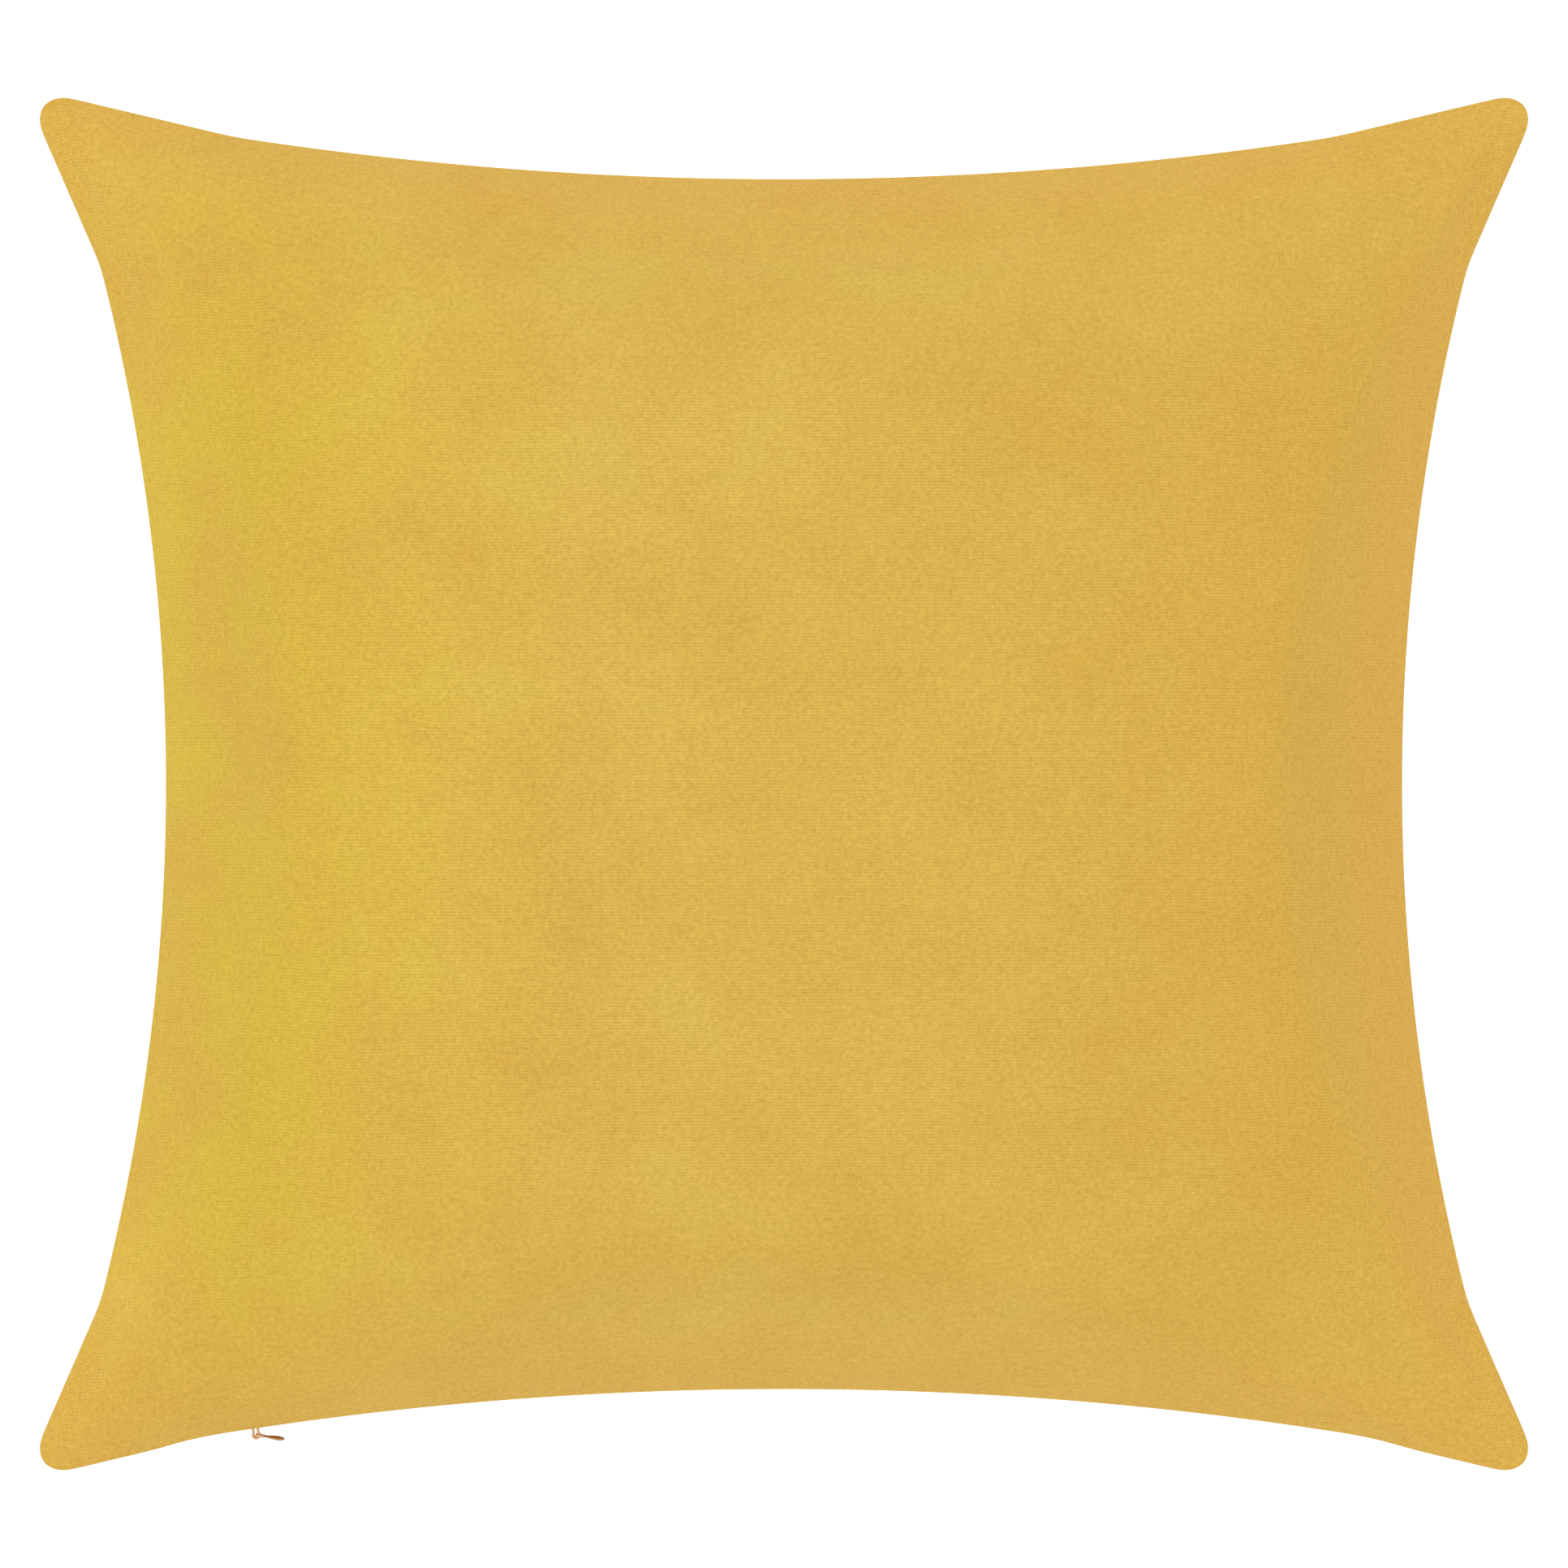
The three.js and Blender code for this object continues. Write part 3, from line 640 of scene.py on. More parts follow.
# ---------------------------------------------------------------- paths for threads and zip
def zip_place(x, depth, rise):
    """A point by the zip: along the seam's arc, in from the seam, up from its plane."""
    radius = -half_height - ZIP_CENTRE.y
    angle = x / radius
    reach = radius + depth
    y = ZIP_CENTRE.y + reach * np.cos(angle)
    return np.stack([reach * np.sin(angle), y, SEAM_Z + rise + 0 * y], axis=-1)


def seam_round(inset, open_half):
    """The plan of a line round the seam, from one end of a gap in the zip's side to the other."""
    samples = 160
    open_t = open_half / corner_tip[0]
    bottom = np.linspace(open_t, 1, samples // 8, endpoint=False)
    whole = np.linspace(-1, 1, samples, endpoint=False)
    t = np.concatenate([bottom, np.ones(samples), -whole, -np.ones(samples), -bottom[::-1]])
    s = np.concatenate(
        [-np.ones(len(bottom)), whole, np.ones(samples), -whole, -np.ones(len(bottom))]
    )
    x, y = plan(*inwards(t, s, inset))
    return np.stack([x, y], axis=-1)


class Path:
    """A line in plan, read by distance along it, with its inward direction."""

    def __init__(self, points):
        self.points = points
        steps = np.linalg.norm(np.diff(points, axis=0), axis=1)
        self.along = np.concatenate([[0], np.cumsum(steps)])
        self.length = float(self.along[-1])

    def at(self, distance):
        x = np.interp(distance, self.along, self.points[:, 0])
        y = np.interp(distance, self.along, self.points[:, 1])
        return np.stack([x, y], axis=-1)

    def inward(self, distance):
        span = 1 * MM
        ahead = self.at(distance + span) - self.at(distance - span)
        length = np.linalg.norm(ahead, axis=-1, keepdims=True) + 1e-12
        return np.stack([-ahead[..., 1], ahead[..., 0]], axis=-1) / length


def along_path(path, distance, depth, rise):
    flat = path.at(distance) + path.inward(distance) * np.asarray(depth)[..., None]
    return np.concatenate([flat, (SEAM_Z + rise)[..., None]], axis=-1)


def lockstitches(path, stitch, rise):
    """A thread that arches over the cloth once a stitch and dives through it in between."""
    count = round(path.length / stitch)
    arch = [(0, 0.05), (0.12, 0.85), (0.5, 1), (0.88, 0.85)]
    turns = [n + share for n in range(count) for share, _ in arch]
    distance = np.array([turn * path.length / count for turn in turns])
    height = np.array([share for _ in range(count) for _, share in arch]) * rise
    return along_path(path, distance, np.zeros_like(distance), height)


def wrapped(length, pitch, depth, rise, turn_steps, squareness=0.6):
    """Distance, depth and height of a thread that goes round and round a flat bundle."""
    turns = max(2, round(length / pitch))
    angle = np.arange(turns * turn_steps + 1) * 2 * math.pi / turn_steps
    distance = angle / (2 * math.pi) / turns * length
    across = np.sign(np.cos(angle)) * np.abs(np.cos(angle)) ** squareness
    up = np.sign(np.sin(angle)) * np.abs(np.sin(angle)) ** squareness
    return distance, across * depth, up * rise


# ---------------------------------------------------------------- geometry node trees
def new_tree(name, sockets):
    tree = bpy.data.node_groups.new(name, "GeometryNodeTree")
    tree.interface.new_socket("Geometry", in_out="INPUT", socket_type="NodeSocketGeometry")
    for label, kind in sockets:
        tree.interface.new_socket(label, in_out="INPUT", socket_type=kind)
    tree.interface.new_socket("Geometry", in_out="OUTPUT", socket_type="NodeSocketGeometry")
    return tree, tree.nodes.new("NodeGroupInput"), tree.nodes.new("NodeGroupOutput")


def node(tree, kind, inputs=None, **settings):
    """A new node, with settings, and with inputs given as values or as other nodes' outputs."""
    made = tree.nodes.new(kind)
    for label, value in settings.items():
        setattr(made, label, value)
    for label, value in (inputs or {}).items():
        if isinstance(value, bpy.types.NodeSocket):
            tree.links.new(value, made.inputs[label])
        else:
            made.inputs[label].default_value = value
    return made


def finish_tree(tree, geometry, given, out):
    """Every tree ends alike: smooth, real geometry in one material."""
    smooth = node(tree, "GeometryNodeSetShadeSmooth", {"Geometry": geometry})
    real = node(tree, "GeometryNodeRealizeInstances", {"Geometry": smooth.outputs[0]})
    painted = node(
        tree,
        "GeometryNodeSetMaterial",
        {"Geometry": real.outputs[0], "Material": given.outputs["Material"]},
    )
    tree.links.new(painted.outputs[0], out.inputs[0])
    return tree


def thread_tree():
    """Draws a round thread, wire or cord along a line of edges."""
    tree, given, out = new_tree(
        "round_thread",
        [
            ("Radius", "NodeSocketFloat"),
            ("Sides", "NodeSocketInt"),
            ("Material", "NodeSocketMaterial"),
        ],
    )
    line = node(tree, "GeometryNodeMeshToCurve", {"Mesh": given.outputs["Geometry"]})
    ring = node(
        tree,
        "GeometryNodeCurvePrimitiveCircle",
        {"Radius": given.outputs["Radius"], "Resolution": given.outputs["Sides"]},
    )
    tube = node(
        tree,
        "GeometryNodeCurveToMesh",
        {"Curve": line.outputs[0], "Profile Curve": ring.outputs["Curve"], "Fill Caps": True},
    )
    return finish_tree(tree, tube.outputs[0], given, out)


def row_tree():
    """Sets one small shape over and over along a line of edges, turned to follow it."""
    tree, given, out = new_tree(
        "row_of_stitches",
        [
            ("Stitch", "NodeSocketObject"),
            ("Pitch", "NodeSocketFloat"),
            ("Looseness", "NodeSocketFloat"),
            ("Seed", "NodeSocketInt"),
            ("Material", "NodeSocketMaterial"),
        ],
    )
    line = node(tree, "GeometryNodeMeshToCurve", {"Mesh": given.outputs["Geometry"]})
    spots = node(
        tree,
        "GeometryNodeResampleCurve",
        {"Curve": line.outputs[0], "Length": given.outputs["Pitch"]},
        mode="LENGTH",
    )
    shape = node(tree, "GeometryNodeObjectInfo", {"Object": given.outputs["Stitch"]})
    tangent = node(tree, "GeometryNodeInputTangent")
    turned = node(
        tree,
        "FunctionNodeAlignEulerToVector",
        {"Vector": tangent.outputs[0]},
        axis="X",
        pivot_axis="Z",
    )
    uneven = node(
        tree,
        "FunctionNodeRandomValue",
        {"Seed": given.outputs["Seed"]},
        data_type="FLOAT",
    )
    low = maths(tree, "SUBTRACT", 1.0, given.outputs["Looseness"])
    high = maths(tree, "ADD", 1.0, given.outputs["Looseness"])
    tree.links.new(low, uneven.inputs[2])
    tree.links.new(high, uneven.inputs[3])
    row = node(
        tree,
        "GeometryNodeInstanceOnPoints",
        {
            "Points": spots.outputs[0],
            "Instance": shape.outputs["Geometry"],
            "Rotation": turned.outputs[0],
            "Scale": uneven.outputs[1],
        },
    )
    return finish_tree(tree, row.outputs[0], given, out)


def grown(name, lines, tree, **inputs):
    """The plain mesh that a tree makes of one or more lines."""
    edges = []
    first = 0
    for line in lines:
        edges += [(first + n, first + n + 1) for n in range(len(line) - 1)]
        first += len(line)
    base = mesh_object(name + "_line", np.concatenate(lines), [], edges)
    grow = base.modifiers.new("grow", "NODES")
    grow.node_group = tree
    named = {s.name: s.identifier for s in tree.interface.items_tree if s.in_out == "INPUT"}
    for label, value in inputs.items():
        grow[named[label.capitalize()]] = value
    graph = bpy.context.evaluated_depsgraph_get()
    mesh = bpy.data.meshes.new_from_object(base.evaluated_get(graph))
    bpy.data.objects.remove(base)
    made = bpy.data.objects.new(name, mesh)
    collection().objects.link(made)
    return made


def thread(name, lines, radius, material, sides=6):
    return grown(name, lines, trees["thread"], radius=radius, sides=sides, material=material)


def stitch_shape(length, radius):
    """One stitch that lies along X, with its ends turned down into the cloth."""
    rings = []
    for share in np.linspace(-1, 1, 6):
        drop = -radius * 1.8 * share**4
        thick = radius * (1 - 0.45 * share**6)
        rings.append((share * length / 2, drop, thick))
    sides = 6
    points = []
    for x, z, thick in rings:
        for n in range(sides):
            angle = 2 * math.pi * n / sides
            points.append((x, thick * math.cos(angle), z + thick * math.sin(angle)))
    made = mesh_object("one_stitch", points, tube_faces(len(rings), sides))
    face_outwards(made)
    return made


# ---------------------------------------------------------------- materials
def material(name):
    made = bpy.data.materials.new(name)
    made.use_nodes = True
    tree = made.node_tree
    tree.nodes.clear()
    out = tree.nodes.new("ShaderNodeOutputMaterial")
    shader = tree.nodes.new("ShaderNodeBsdfPrincipled")
    tree.links.new(shader.outputs[0], out.inputs[0])
    return made, tree, shader


def places(tree):
    return node(tree, "ShaderNodeTexCoord").outputs["Object"]


def speckle(tree, at, scale, detail, roughness=0.5, stretch=None):
    """Noise at so many lumps to the metre, from 0 to 1."""
    if stretch:
        at = node(tree, "ShaderNodeMapping", {"Vector": at, "Scale": stretch}).outputs[0]
    inputs = {"Vector": at, "Scale": scale, "Detail": detail, "Roughness": roughness}
    return node(tree, "ShaderNodeTexNoise", inputs).outputs[0]


def bands(tree, at, pitch, direction, distortion):
    """Ribs or rows with a pitch in metres, from 0 to 1."""
    inputs = {
        "Vector": at,
        "Scale": 2 * math.pi / (20 * pitch),
        "Distortion": distortion,
        "Detail": 1.0,
    }
    return node(
        tree, "ShaderNodeTexWave", inputs, wave_type="BANDS", bands_direction=direction
    ).outputs[1]


def maths(tree, operation, first, second, clamp=False):
    return node(
        tree, "ShaderNodeMath", {0: first, 1: second}, operation=operation, use_clamp=clamp
    ).outputs[0]


def spread(tree, value, low, high, to_low=0.0, to_high=1.0):
    inputs = {"Value": value, "From Min": low, "From Max": high}
    inputs |= {"To Min": to_low, "To Max": to_high}
    return node(tree, "ShaderNodeMapRange", inputs).outputs[0]


def blend(tree, share, first, second, kind="MIX"):
    """A mix of two colours, each a value or an output."""
    made = node(tree, "ShaderNodeMix", data_type="RGBA", blend_type=kind)
    for number, value in ((0, share), (6, first), (7, second)):
        socket = made.inputs[number]
        if isinstance(value, bpy.types.NodeSocket):
            tree.links.new(value, socket)
        elif isinstance(value, tuple):
            socket.default_value = (*value, 1)
        else:
            socket.default_value = value
    return made.outputs[2]


def raise_by(tree, shader, height, distance, strength):
    bump = node(
        tree, "ShaderNodeBump", {"Height": height, "Distance": distance, "Strength": strength}
    )
    tree.links.new(bump.outputs[0], shader.inputs["Normal"])


MUSTARD = (0.650, 0.436, 0.078)
MUSTARD_DEEP = (0.615, 0.370, 0.060)
# Tones of painted light: lemon where the left is lit, olive in a band near the left edge, amber
# where the right is in shade.
MUSTARD_PAINTED_LEMON = (0.662, 0.478, 0.048)
MUSTARD_PAINTED_OLIVE = (0.605, 0.430, 0.042)
MUSTARD_PAINTED_AMBER = (0.645, 0.398, 0.066)
# Pinker tone by the seam: worn pile and painted sheen.
MUSTARD_WORN_AND_SHEEN = (0.685, 0.395, 0.068)
# Where the colour drifts across the face, from its middle: painted light from the left, lemon and
# lighter on the left, a greener olive band near the left edge, amber and darker on the right.
LEMON_FROM = -60 * MM
LEMON_FULL = -170 * MM
OLIVE_LEFT = 158 * MM
OLIVE_HALF = 42 * MM
AMBER_FULL = 140 * MM
DRIFT_FULL = 100 * MM  # up or down from the middle: the drift is full to here
DRIFT_NONE = 210 * MM  # and gone from here
RIB = 1 * MM


def velvet():
    """Short dense pile: soft patches where it leans, fine grain, faint ribs of the ground; painted
    light across the face, and painted sheen with wear near the seam.
    """
    made, tree, shader = material("mustard_velvet")
    at = places(tree)
    cut = node(tree, "ShaderNodeUVMap", uv_map="cut").outputs[0]
    split = node(tree, "ShaderNodeSeparateXYZ", {0: at})
    across = split.outputs[0]
    from_middle = maths(tree, "ABSOLUTE", split.outputs[1], 0)
    # Painted light: lemon and lighter towards the left, an olive band near the left edge, amber and
    # darker towards the right, all fading above and below the middle.
    painted_light_reach = spread(tree, from_middle, DRIFT_NONE, DRIFT_FULL)
    painted_left_light = maths(tree, "MULTIPLY", spread(tree, across, LEMON_FROM, LEMON_FULL), painted_light_reach)
    tone = blend(tree, painted_left_light, MUSTARD, MUSTARD_PAINTED_LEMON)
    from_olive_band = maths(tree, "ABSOLUTE", maths(tree, "ADD", across, OLIVE_LEFT), 0)
    painted_olive_band = maths(tree, "MULTIPLY", spread(tree, from_olive_band, OLIVE_HALF, 0, 0, 0.85), painted_light_reach)
    tone = blend(tree, painted_olive_band, tone, MUSTARD_PAINTED_OLIVE)
    painted_right_shade = maths(tree, "MULTIPLY", spread(tree, across, 0, AMBER_FULL), painted_light_reach)
    tone = blend(tree, painted_right_shade, tone, MUSTARD_PAINTED_AMBER)
    leaning = speckle(tree, at, 24, detail=5, roughness=0.6)
    tone = blend(tree, spread(tree, leaning, 0.35, 0.7, 0.0, 0.75), tone, MUSTARD_DEEP)
    # By the seam, a pinker tone: partly pile crushed by wear, partly painted sheen where the face
    # turns over; less where the painted light is lemon.
    seam = node(tree, "ShaderNodeAttribute", attribute_name="near_seam").outputs["Fac"]
    wear_and_sheen = maths(tree, "MULTIPLY", seam, spread(tree, painted_left_light, 0, 1, 0.6, 0))
    tone = blend(tree, wear_and_sheen, tone, MUSTARD_WORN_AND_SHEEN)
    grain = speckle(tree, at, 780, detail=3, roughness=0.65)
    rib = bands(tree, cut, RIB, "Y", distortion=1.5)
    fine = maths(tree, "MULTIPLY", grain, 0.85)
    fleck = maths(tree, "ADD", fine, maths(tree, "MULTIPLY", rib, 0.15))
    pile = blend(tree, spread(tree, fleck, 0.3, 0.7), (0.88, 0.85, 0.77), (1.12, 1.14, 1.20))
    colour = blend(tree, 1.0, tone, pile, "MULTIPLY")
    tree.links.new(colour, shader.inputs["Base Color"])
    rough = spread(tree, leaning, 0.3, 0.7, 0.78, 0.95)
    tree.links.new(rough, shader.inputs["Roughness"])
    shader.inputs["Specular IOR Level"].default_value = 0.15
    shader.inputs["Sheen Weight"].default_value = 0.15
    shader.inputs["Sheen Roughness"].default_value = 0.5
    shader.inputs["Sheen Tint"].default_value = (1.0, 0.82, 0.40, 1)
    height = maths(tree, "ADD", fleck, maths(tree, "MULTIPLY", leaning, 0.6))
    raise_by(tree, shader, height, 0.25 * MM, 0.55)
    return made


def spun_thread(name, colour, dark):
    """Twisted polyester thread, with the twist's slanting ridges."""
    made, tree, shader = material(name)
    at = places(tree)
    slant = node(tree, "ShaderNodeMapping", {"Vector": at, "Rotation": (0.3, 0.4, 0.6)}).outputs[0]
    ply = bands(tree, slant, 0.35 * MM, "X", distortion=0.4)
    fuzz = speckle(tree, at, 2500, detail=2)
    tone = blend(tree, maths(tree, "MULTIPLY", ply, fuzz, clamp=True), dark, colour)
    tree.links.new(tone, shader.inputs["Base Color"])
    tree.links.new(spread(tree, fuzz, 0, 1, 0.55, 0.8), shader.inputs["Roughness"])
    shader.inputs["Sheen Weight"].default_value = 0.2
    raise_by(tree, shader, ply, 0.05 * MM, 0.6)
    return made


def woven(name, colour, dark, pitch):
    """Plain weave: warp and weft ribs over each other."""
    made, tree, shader = material(name)
    at = places(tree)
    warp = bands(tree, at, pitch, "X", distortion=0.6)
    weft = bands(tree, at, pitch * 1.1, "Y", distortion=0.6)
    cloth = maths(tree, "MAXIMUM", warp, weft)
    slub = speckle(tree, at, 220, detail=3)
    lit = maths(tree, "MULTIPLY", cloth, spread(tree, slub, 0.2, 0.8, 0.6, 1.0))
    tone = blend(tree, lit, dark, colour)
    tree.links.new(tone, shader.inputs["Base Color"])
    tree.links.new(spread(tree, slub, 0, 1, 0.75, 0.93), shader.inputs["Roughness"])
    shader.inputs["Sheen Weight"].default_value = 0.1
    raise_by(tree, shader, cloth, 0.05 * MM, 0.7)
    return made


def nylon():
    """Drawn nylon wire of the zip's coils."""
    made, tree, shader = material("mustard_nylon")
    at = places(tree)
    drawn = speckle(tree, at, 700, detail=2, stretch=(0.4, 3, 3))
    tree.links.new(
        blend(tree, drawn, (0.48, 0.30, 0.05), (0.64, 0.42, 0.09)), shader.inputs["Base Color"]
    )
    tree.links.new(spread(tree, drawn, 0, 1, 0.28, 0.5), shader.inputs["Roughness"])
    raise_by(tree, shader, drawn, 0.02 * MM, 0.4)
    return made


def rose_gold():
    """Plated zinc, bright on its faces, a little duller where it is handled."""
    made, tree, shader = material("rose_gold")
    at = places(tree)
    handled = speckle(tree, at, 420, detail=4, roughness=0.6)
    hairline = speckle(tree, at, 1500, detail=2, stretch=(0.25, 2, 2))
    tone = blend(tree, handled, (0.70, 0.39, 0.21), (0.42, 0.21, 0.09))
    tree.links.new(tone, shader.inputs["Base Color"])
    shader.inputs["Metallic"].default_value = 1
    dulled = maths(tree, "MULTIPLY", handled, 0.25)
    wear = maths(tree, "ADD", dulled, maths(tree, "MULTIPLY", hairline, 0.12))
    tree.links.new(spread(tree, wear, 0, 0.4, 0.12, 0.36), shader.inputs["Roughness"])
    raise_by(tree, shader, hairline, 0.01 * MM, 0.35)
    return made


def fibre():
    """White polyester fibre, matted into wisps."""
    made, tree, shader = material("polyester_fibre")
    at = places(tree)
    wisps = speckle(tree, at, 160, detail=6, roughness=0.75, stretch=(1, 0.35, 1))
    fine = speckle(tree, at, 1200, detail=3, stretch=(0.3, 1, 1))
    tone = blend(tree, wisps, (0.72, 0.71, 0.68), (0.92, 0.92, 0.90))
    tree.links.new(tone, shader.inputs["Base Color"])
    tree.links.new(spread(tree, fine, 0, 1, 0.8, 1.0), shader.inputs["Roughness"])
    shader.inputs["Sheen Weight"].default_value = 0.5
    height = maths(tree, "ADD", wisps, maths(tree, "MULTIPLY", fine, 0.4))
    raise_by(tree, shader, height, 1.2 * MM, 0.8)
    return made


def dress(piece, finish):
    piece.data.materials.clear()
    piece.data.materials.append(finish)
    return piece


# ---------------------------------------------------------------- pieces: cover and insert
def build_cover(front, back, finish):
    for name, face, side, cad_node in (
        ("velvet_front", front, 1, "cover_front_panel"),
        ("velvet_back", back, -1, "cover_back_panel"),
    ):
        panel = dress(cover_panel(name, face, side), finish)
        finish_piece(panel, "root", "velvet", cad_node)


def build_insert(front, back, finish):
    for name, face, side, cad_node in (
        ("insert_cloth_front", front, 1, "insert_front_panel"),
        ("insert_cloth_back", back, -1, "insert_back_panel"),
    ):
        panel = dress(insert_panel(name, face, side), finish)
        finish_piece(panel, "root", "insert_cloth", cad_node)


def build_fill(front, back, finish):
    body = dress(fill_body(front, back), finish)
    finish_piece(body, "root", "polyester_fibre", "fibre_fill")


# ---------------------------------------------------------------- pieces: threads
# Threads and wires are given by their radius.
SEAM_STITCH = 3 * MM
SEAM_STITCH_INSET = 2.75 * MM
SEAM_THREAD = 0.22 * MM
ALLOWANCE_TOP = PLAIN_RISE + VELVET / 2
PLAIN_OPENING = TAPE_HALF + 4 * MM
OVERLOCK_PITCH = 2.2 * MM
OVERLOCK_MIDDLE = 9.6 * MM
OVERLOCK_REACH = 2 * MM
OVERLOCK_OVER = 0.15 * MM
OVERLOCK_THREAD = 0.2 * MM
INSERT_SEAM_INSET = INSERT_INSET + 2.6 * MM
INSERT_SEAM_GAP = 0.5 * MM
INSERT_SEAM_RISE = 0.65 * MM
INSERT_THREAD = 0.18 * MM


def build_seam_threads(finish, plain):
    path = Path(seam_round(SEAM_STITCH_INSET, PLAIN_OPENING))
    rise = ALLOWANCE_TOP + SEAM_THREAD / 2
    rows = [lockstitches(path, SEAM_STITCH, side * rise) for side in (1, -1)]
    seam = thread("cover_seam_stitches", rows, SEAM_THREAD, finish)
    finish_piece(seam, "root", "cover_thread", "cover_seam_thread")

    edge = Path(seam_round(OVERLOCK_MIDDLE, PLAIN_OPENING))
    top = ALLOWANCE_TOP + OVERLOCK_OVER
    distance, depth, up = wrapped(edge.length, OVERLOCK_PITCH, OVERLOCK_REACH, top, 8)
    rows = [along_path(edge, distance, depth, up)]
    overlock = thread("cover_overlock_stitches", rows, OVERLOCK_THREAD, finish, 5)
    finish_piece(overlock, "root", "cover_thread", "cover_overlock_thread")

    hidden = Path(seam_round(INSERT_SEAM_INSET, INSERT_SEAM_GAP))
    rise = INSERT_SEAM_RISE + SEAM_THREAD / 2
    rows = [lockstitches(hidden, SEAM_STITCH, side * rise) for side in (1, -1)]
    inner = thread("insert_seam_stitches", rows, INSERT_THREAD, plain, 5)
    finish_piece(inner, "root", "insert_thread", "insert_seam_thread")


CLOSING_LENGTH = 120 * MM
CLOSING_INSET = INSERT_INSET + 0.9 * MM
CLOSING_PITCH = 4 * MM
CLOSING_REACH = 1.5 * MM
CLOSING_RISE = 0.95 * MM
CLOSING_THREAD = 0.25 * MM


def build_closing_stitch(finish):
    """Slanting hand stitches over the edge, where the fibre went in."""
    shown = np.linspace(CLOSING_LENGTH / 2, -CLOSING_LENGTH / 2, 60) / corner_tip[0]
    x, y = plan(*inwards(shown, np.ones_like(shown), CLOSING_INSET))
    path = Path(np.stack([x, y], axis=-1))
    distance, depth, up = wrapped(path.length, CLOSING_PITCH, CLOSING_REACH, CLOSING_RISE, 10)
    rows = [along_path(path, distance, depth, up)]
    closing = thread("insert_closing_stitches", rows, CLOSING_THREAD, finish)
    finish_piece(closing, "root", "insert_thread", "insert_closing_stitch")


# ---------------------------------------------------------------- pieces: zip
COIL_PITCH = 1.25 * MM
COIL_WIRE = 0.2 * MM
COIL_REACH = 0.8 * MM
COIL_HALF_HEIGHT = 0.56 * MM
ZIP_STEPS = 120


def build_coils(finish):
    """Two flattened spirals whose turns lie between each other."""
    length = 2 * CHAIN_HALF
    distance, depth, up = wrapped(length, COIL_PITCH, COIL_REACH, COIL_HALF_HEIGHT, 10, 0.8)
    for side, name in ((1, "front"), (-1, "back")):
        x = distance - CHAIN_HALF + side * COIL_PITCH / 4
        x = np.clip(x, -CHAIN_HALF, CHAIN_HALF)
        line = zip_place(x, COIL_DEPTH + depth, side * (COIL_RISE + up))
        coil = thread(f"zip_coil_{name}_wire", [line], COIL_WIRE, finish, 5)
        finish_piece(coil, "root", "zip_coil", f"zip_coil_{name}")


def build_tapes(finish):
    """Woven tape with a thicker edge by the coil and a soft outer edge."""
    thick = TAPE_THICKNESS / 2
    width = TAPE_END - TAPE_START
    section = [
        (0.0, -0.7 * thick),
        (0.3 * MM, -thick),
        (width - 0.4 * MM, -thick),
        (width, -0.5 * thick),
        (width, 0.5 * thick),
        (width - 0.4 * MM, thick),
        (1.6 * MM, thick),
        (1.2 * MM, 1.25 * thick),
        (0.3 * MM, 1.25 * thick),
        (0.0, 0.7 * thick),
    ]
    for side, name in ((1, "front"), (-1, "back")):
        steps = np.linspace(-TAPE_HALF, TAPE_HALF, ZIP_STEPS + 1)
        starts = zip_place(steps, TAPE_START, side * TAPE_RISE)
        sides = zip_place(steps, TAPE_START + 1, 0) - zip_place(steps, TAPE_START, 0)
        path = [(Vector(a), Vector(b)) for a, b in zip(starts, sides)]
        tape = swept(f"zip_tape_{name}_woven", [(d, side * u) for d, u in section], path)
        shade_smooth(tape, math.radians(50))
        finish_piece(dress(tape, finish), "root", "zip_tape", f"zip_tape_{name}")


ZIP_STITCH_DEPTH = 13.15 * MM
ZIP_STITCH = 2.6 * MM
ZIP_STITCH_SHARE = 0.86  # of the pitch that a stitch fills
ZIP_STITCH_THREAD = 0.27 * MM
ZIP_STITCH_END = 2 * MM
ZIP_STITCH_OVER = 0.2 * MM


def build_zip_stitching(finish):
    shape = stitch_shape(ZIP_STITCH * ZIP_STITCH_SHARE, ZIP_STITCH_THREAD)
    for side, name, seed in ((1, "front", 3), (-1, "back", 7)):
        x = np.linspace(-TAPE_HALF + ZIP_STITCH_END, TAPE_HALF - ZIP_STITCH_END, ZIP_STEPS)
        rise = HEM_ON_TAPE + VELVET / 2 + ZIP_STITCH_OVER
        line = zip_place(x, ZIP_STITCH_DEPTH, rise)
        row = grown(
            f"zip_stitching_{name}_row",
            [line],
            trees["row"],
            stitch=shape,
            pitch=ZIP_STITCH,
            looseness=0.06,
            seed=seed,
            material=finish,
        )
        if side < 0:
            turn_over(row)
        finish_piece(row, "root", "cover_thread", f"zip_stitching_{name}")
    bpy.data.objects.remove(shape)


def turn_over(piece):
    """Mirrors a piece in the seam's plane, and turns its faces out again."""
    for vertex in piece.data.vertices:
        vertex.co.z = 2 * SEAM_Z - vertex.co.z
    piece.data.flip_normals()


TACK_LENGTH = 3 * MM
TACK_PITCH = 0.3 * MM
TACK_REACH = 0.5 * MM
TACK_RISE = 1 * MM
TACK_PAST_SLIT = 0.4 * MM
TACK_DEPTH = 2.7 * MM
TACK_THREAD = 0.13 * MM


def build_bar_tacks(finish):
    """Dense stitches that lock the lips at both ends of the opening."""
    distance, depth, up = wrapped(TACK_LENGTH, TACK_PITCH, TACK_REACH, TACK_RISE, 8)
    for side, name in ((-1, "left"), (1, "right")):
        x = side * (SLIT_HALF + TACK_PAST_SLIT + distance)
        line = zip_place(x, TACK_DEPTH + depth, up)
        tack = thread(f"bar_tack_{name}_satin", [line], TACK_THREAD, finish, 5)
        finish_piece(tack, "root", "cover_thread", f"bar_tack_{name}")


BREAK_ANGLE = math.radians(40)


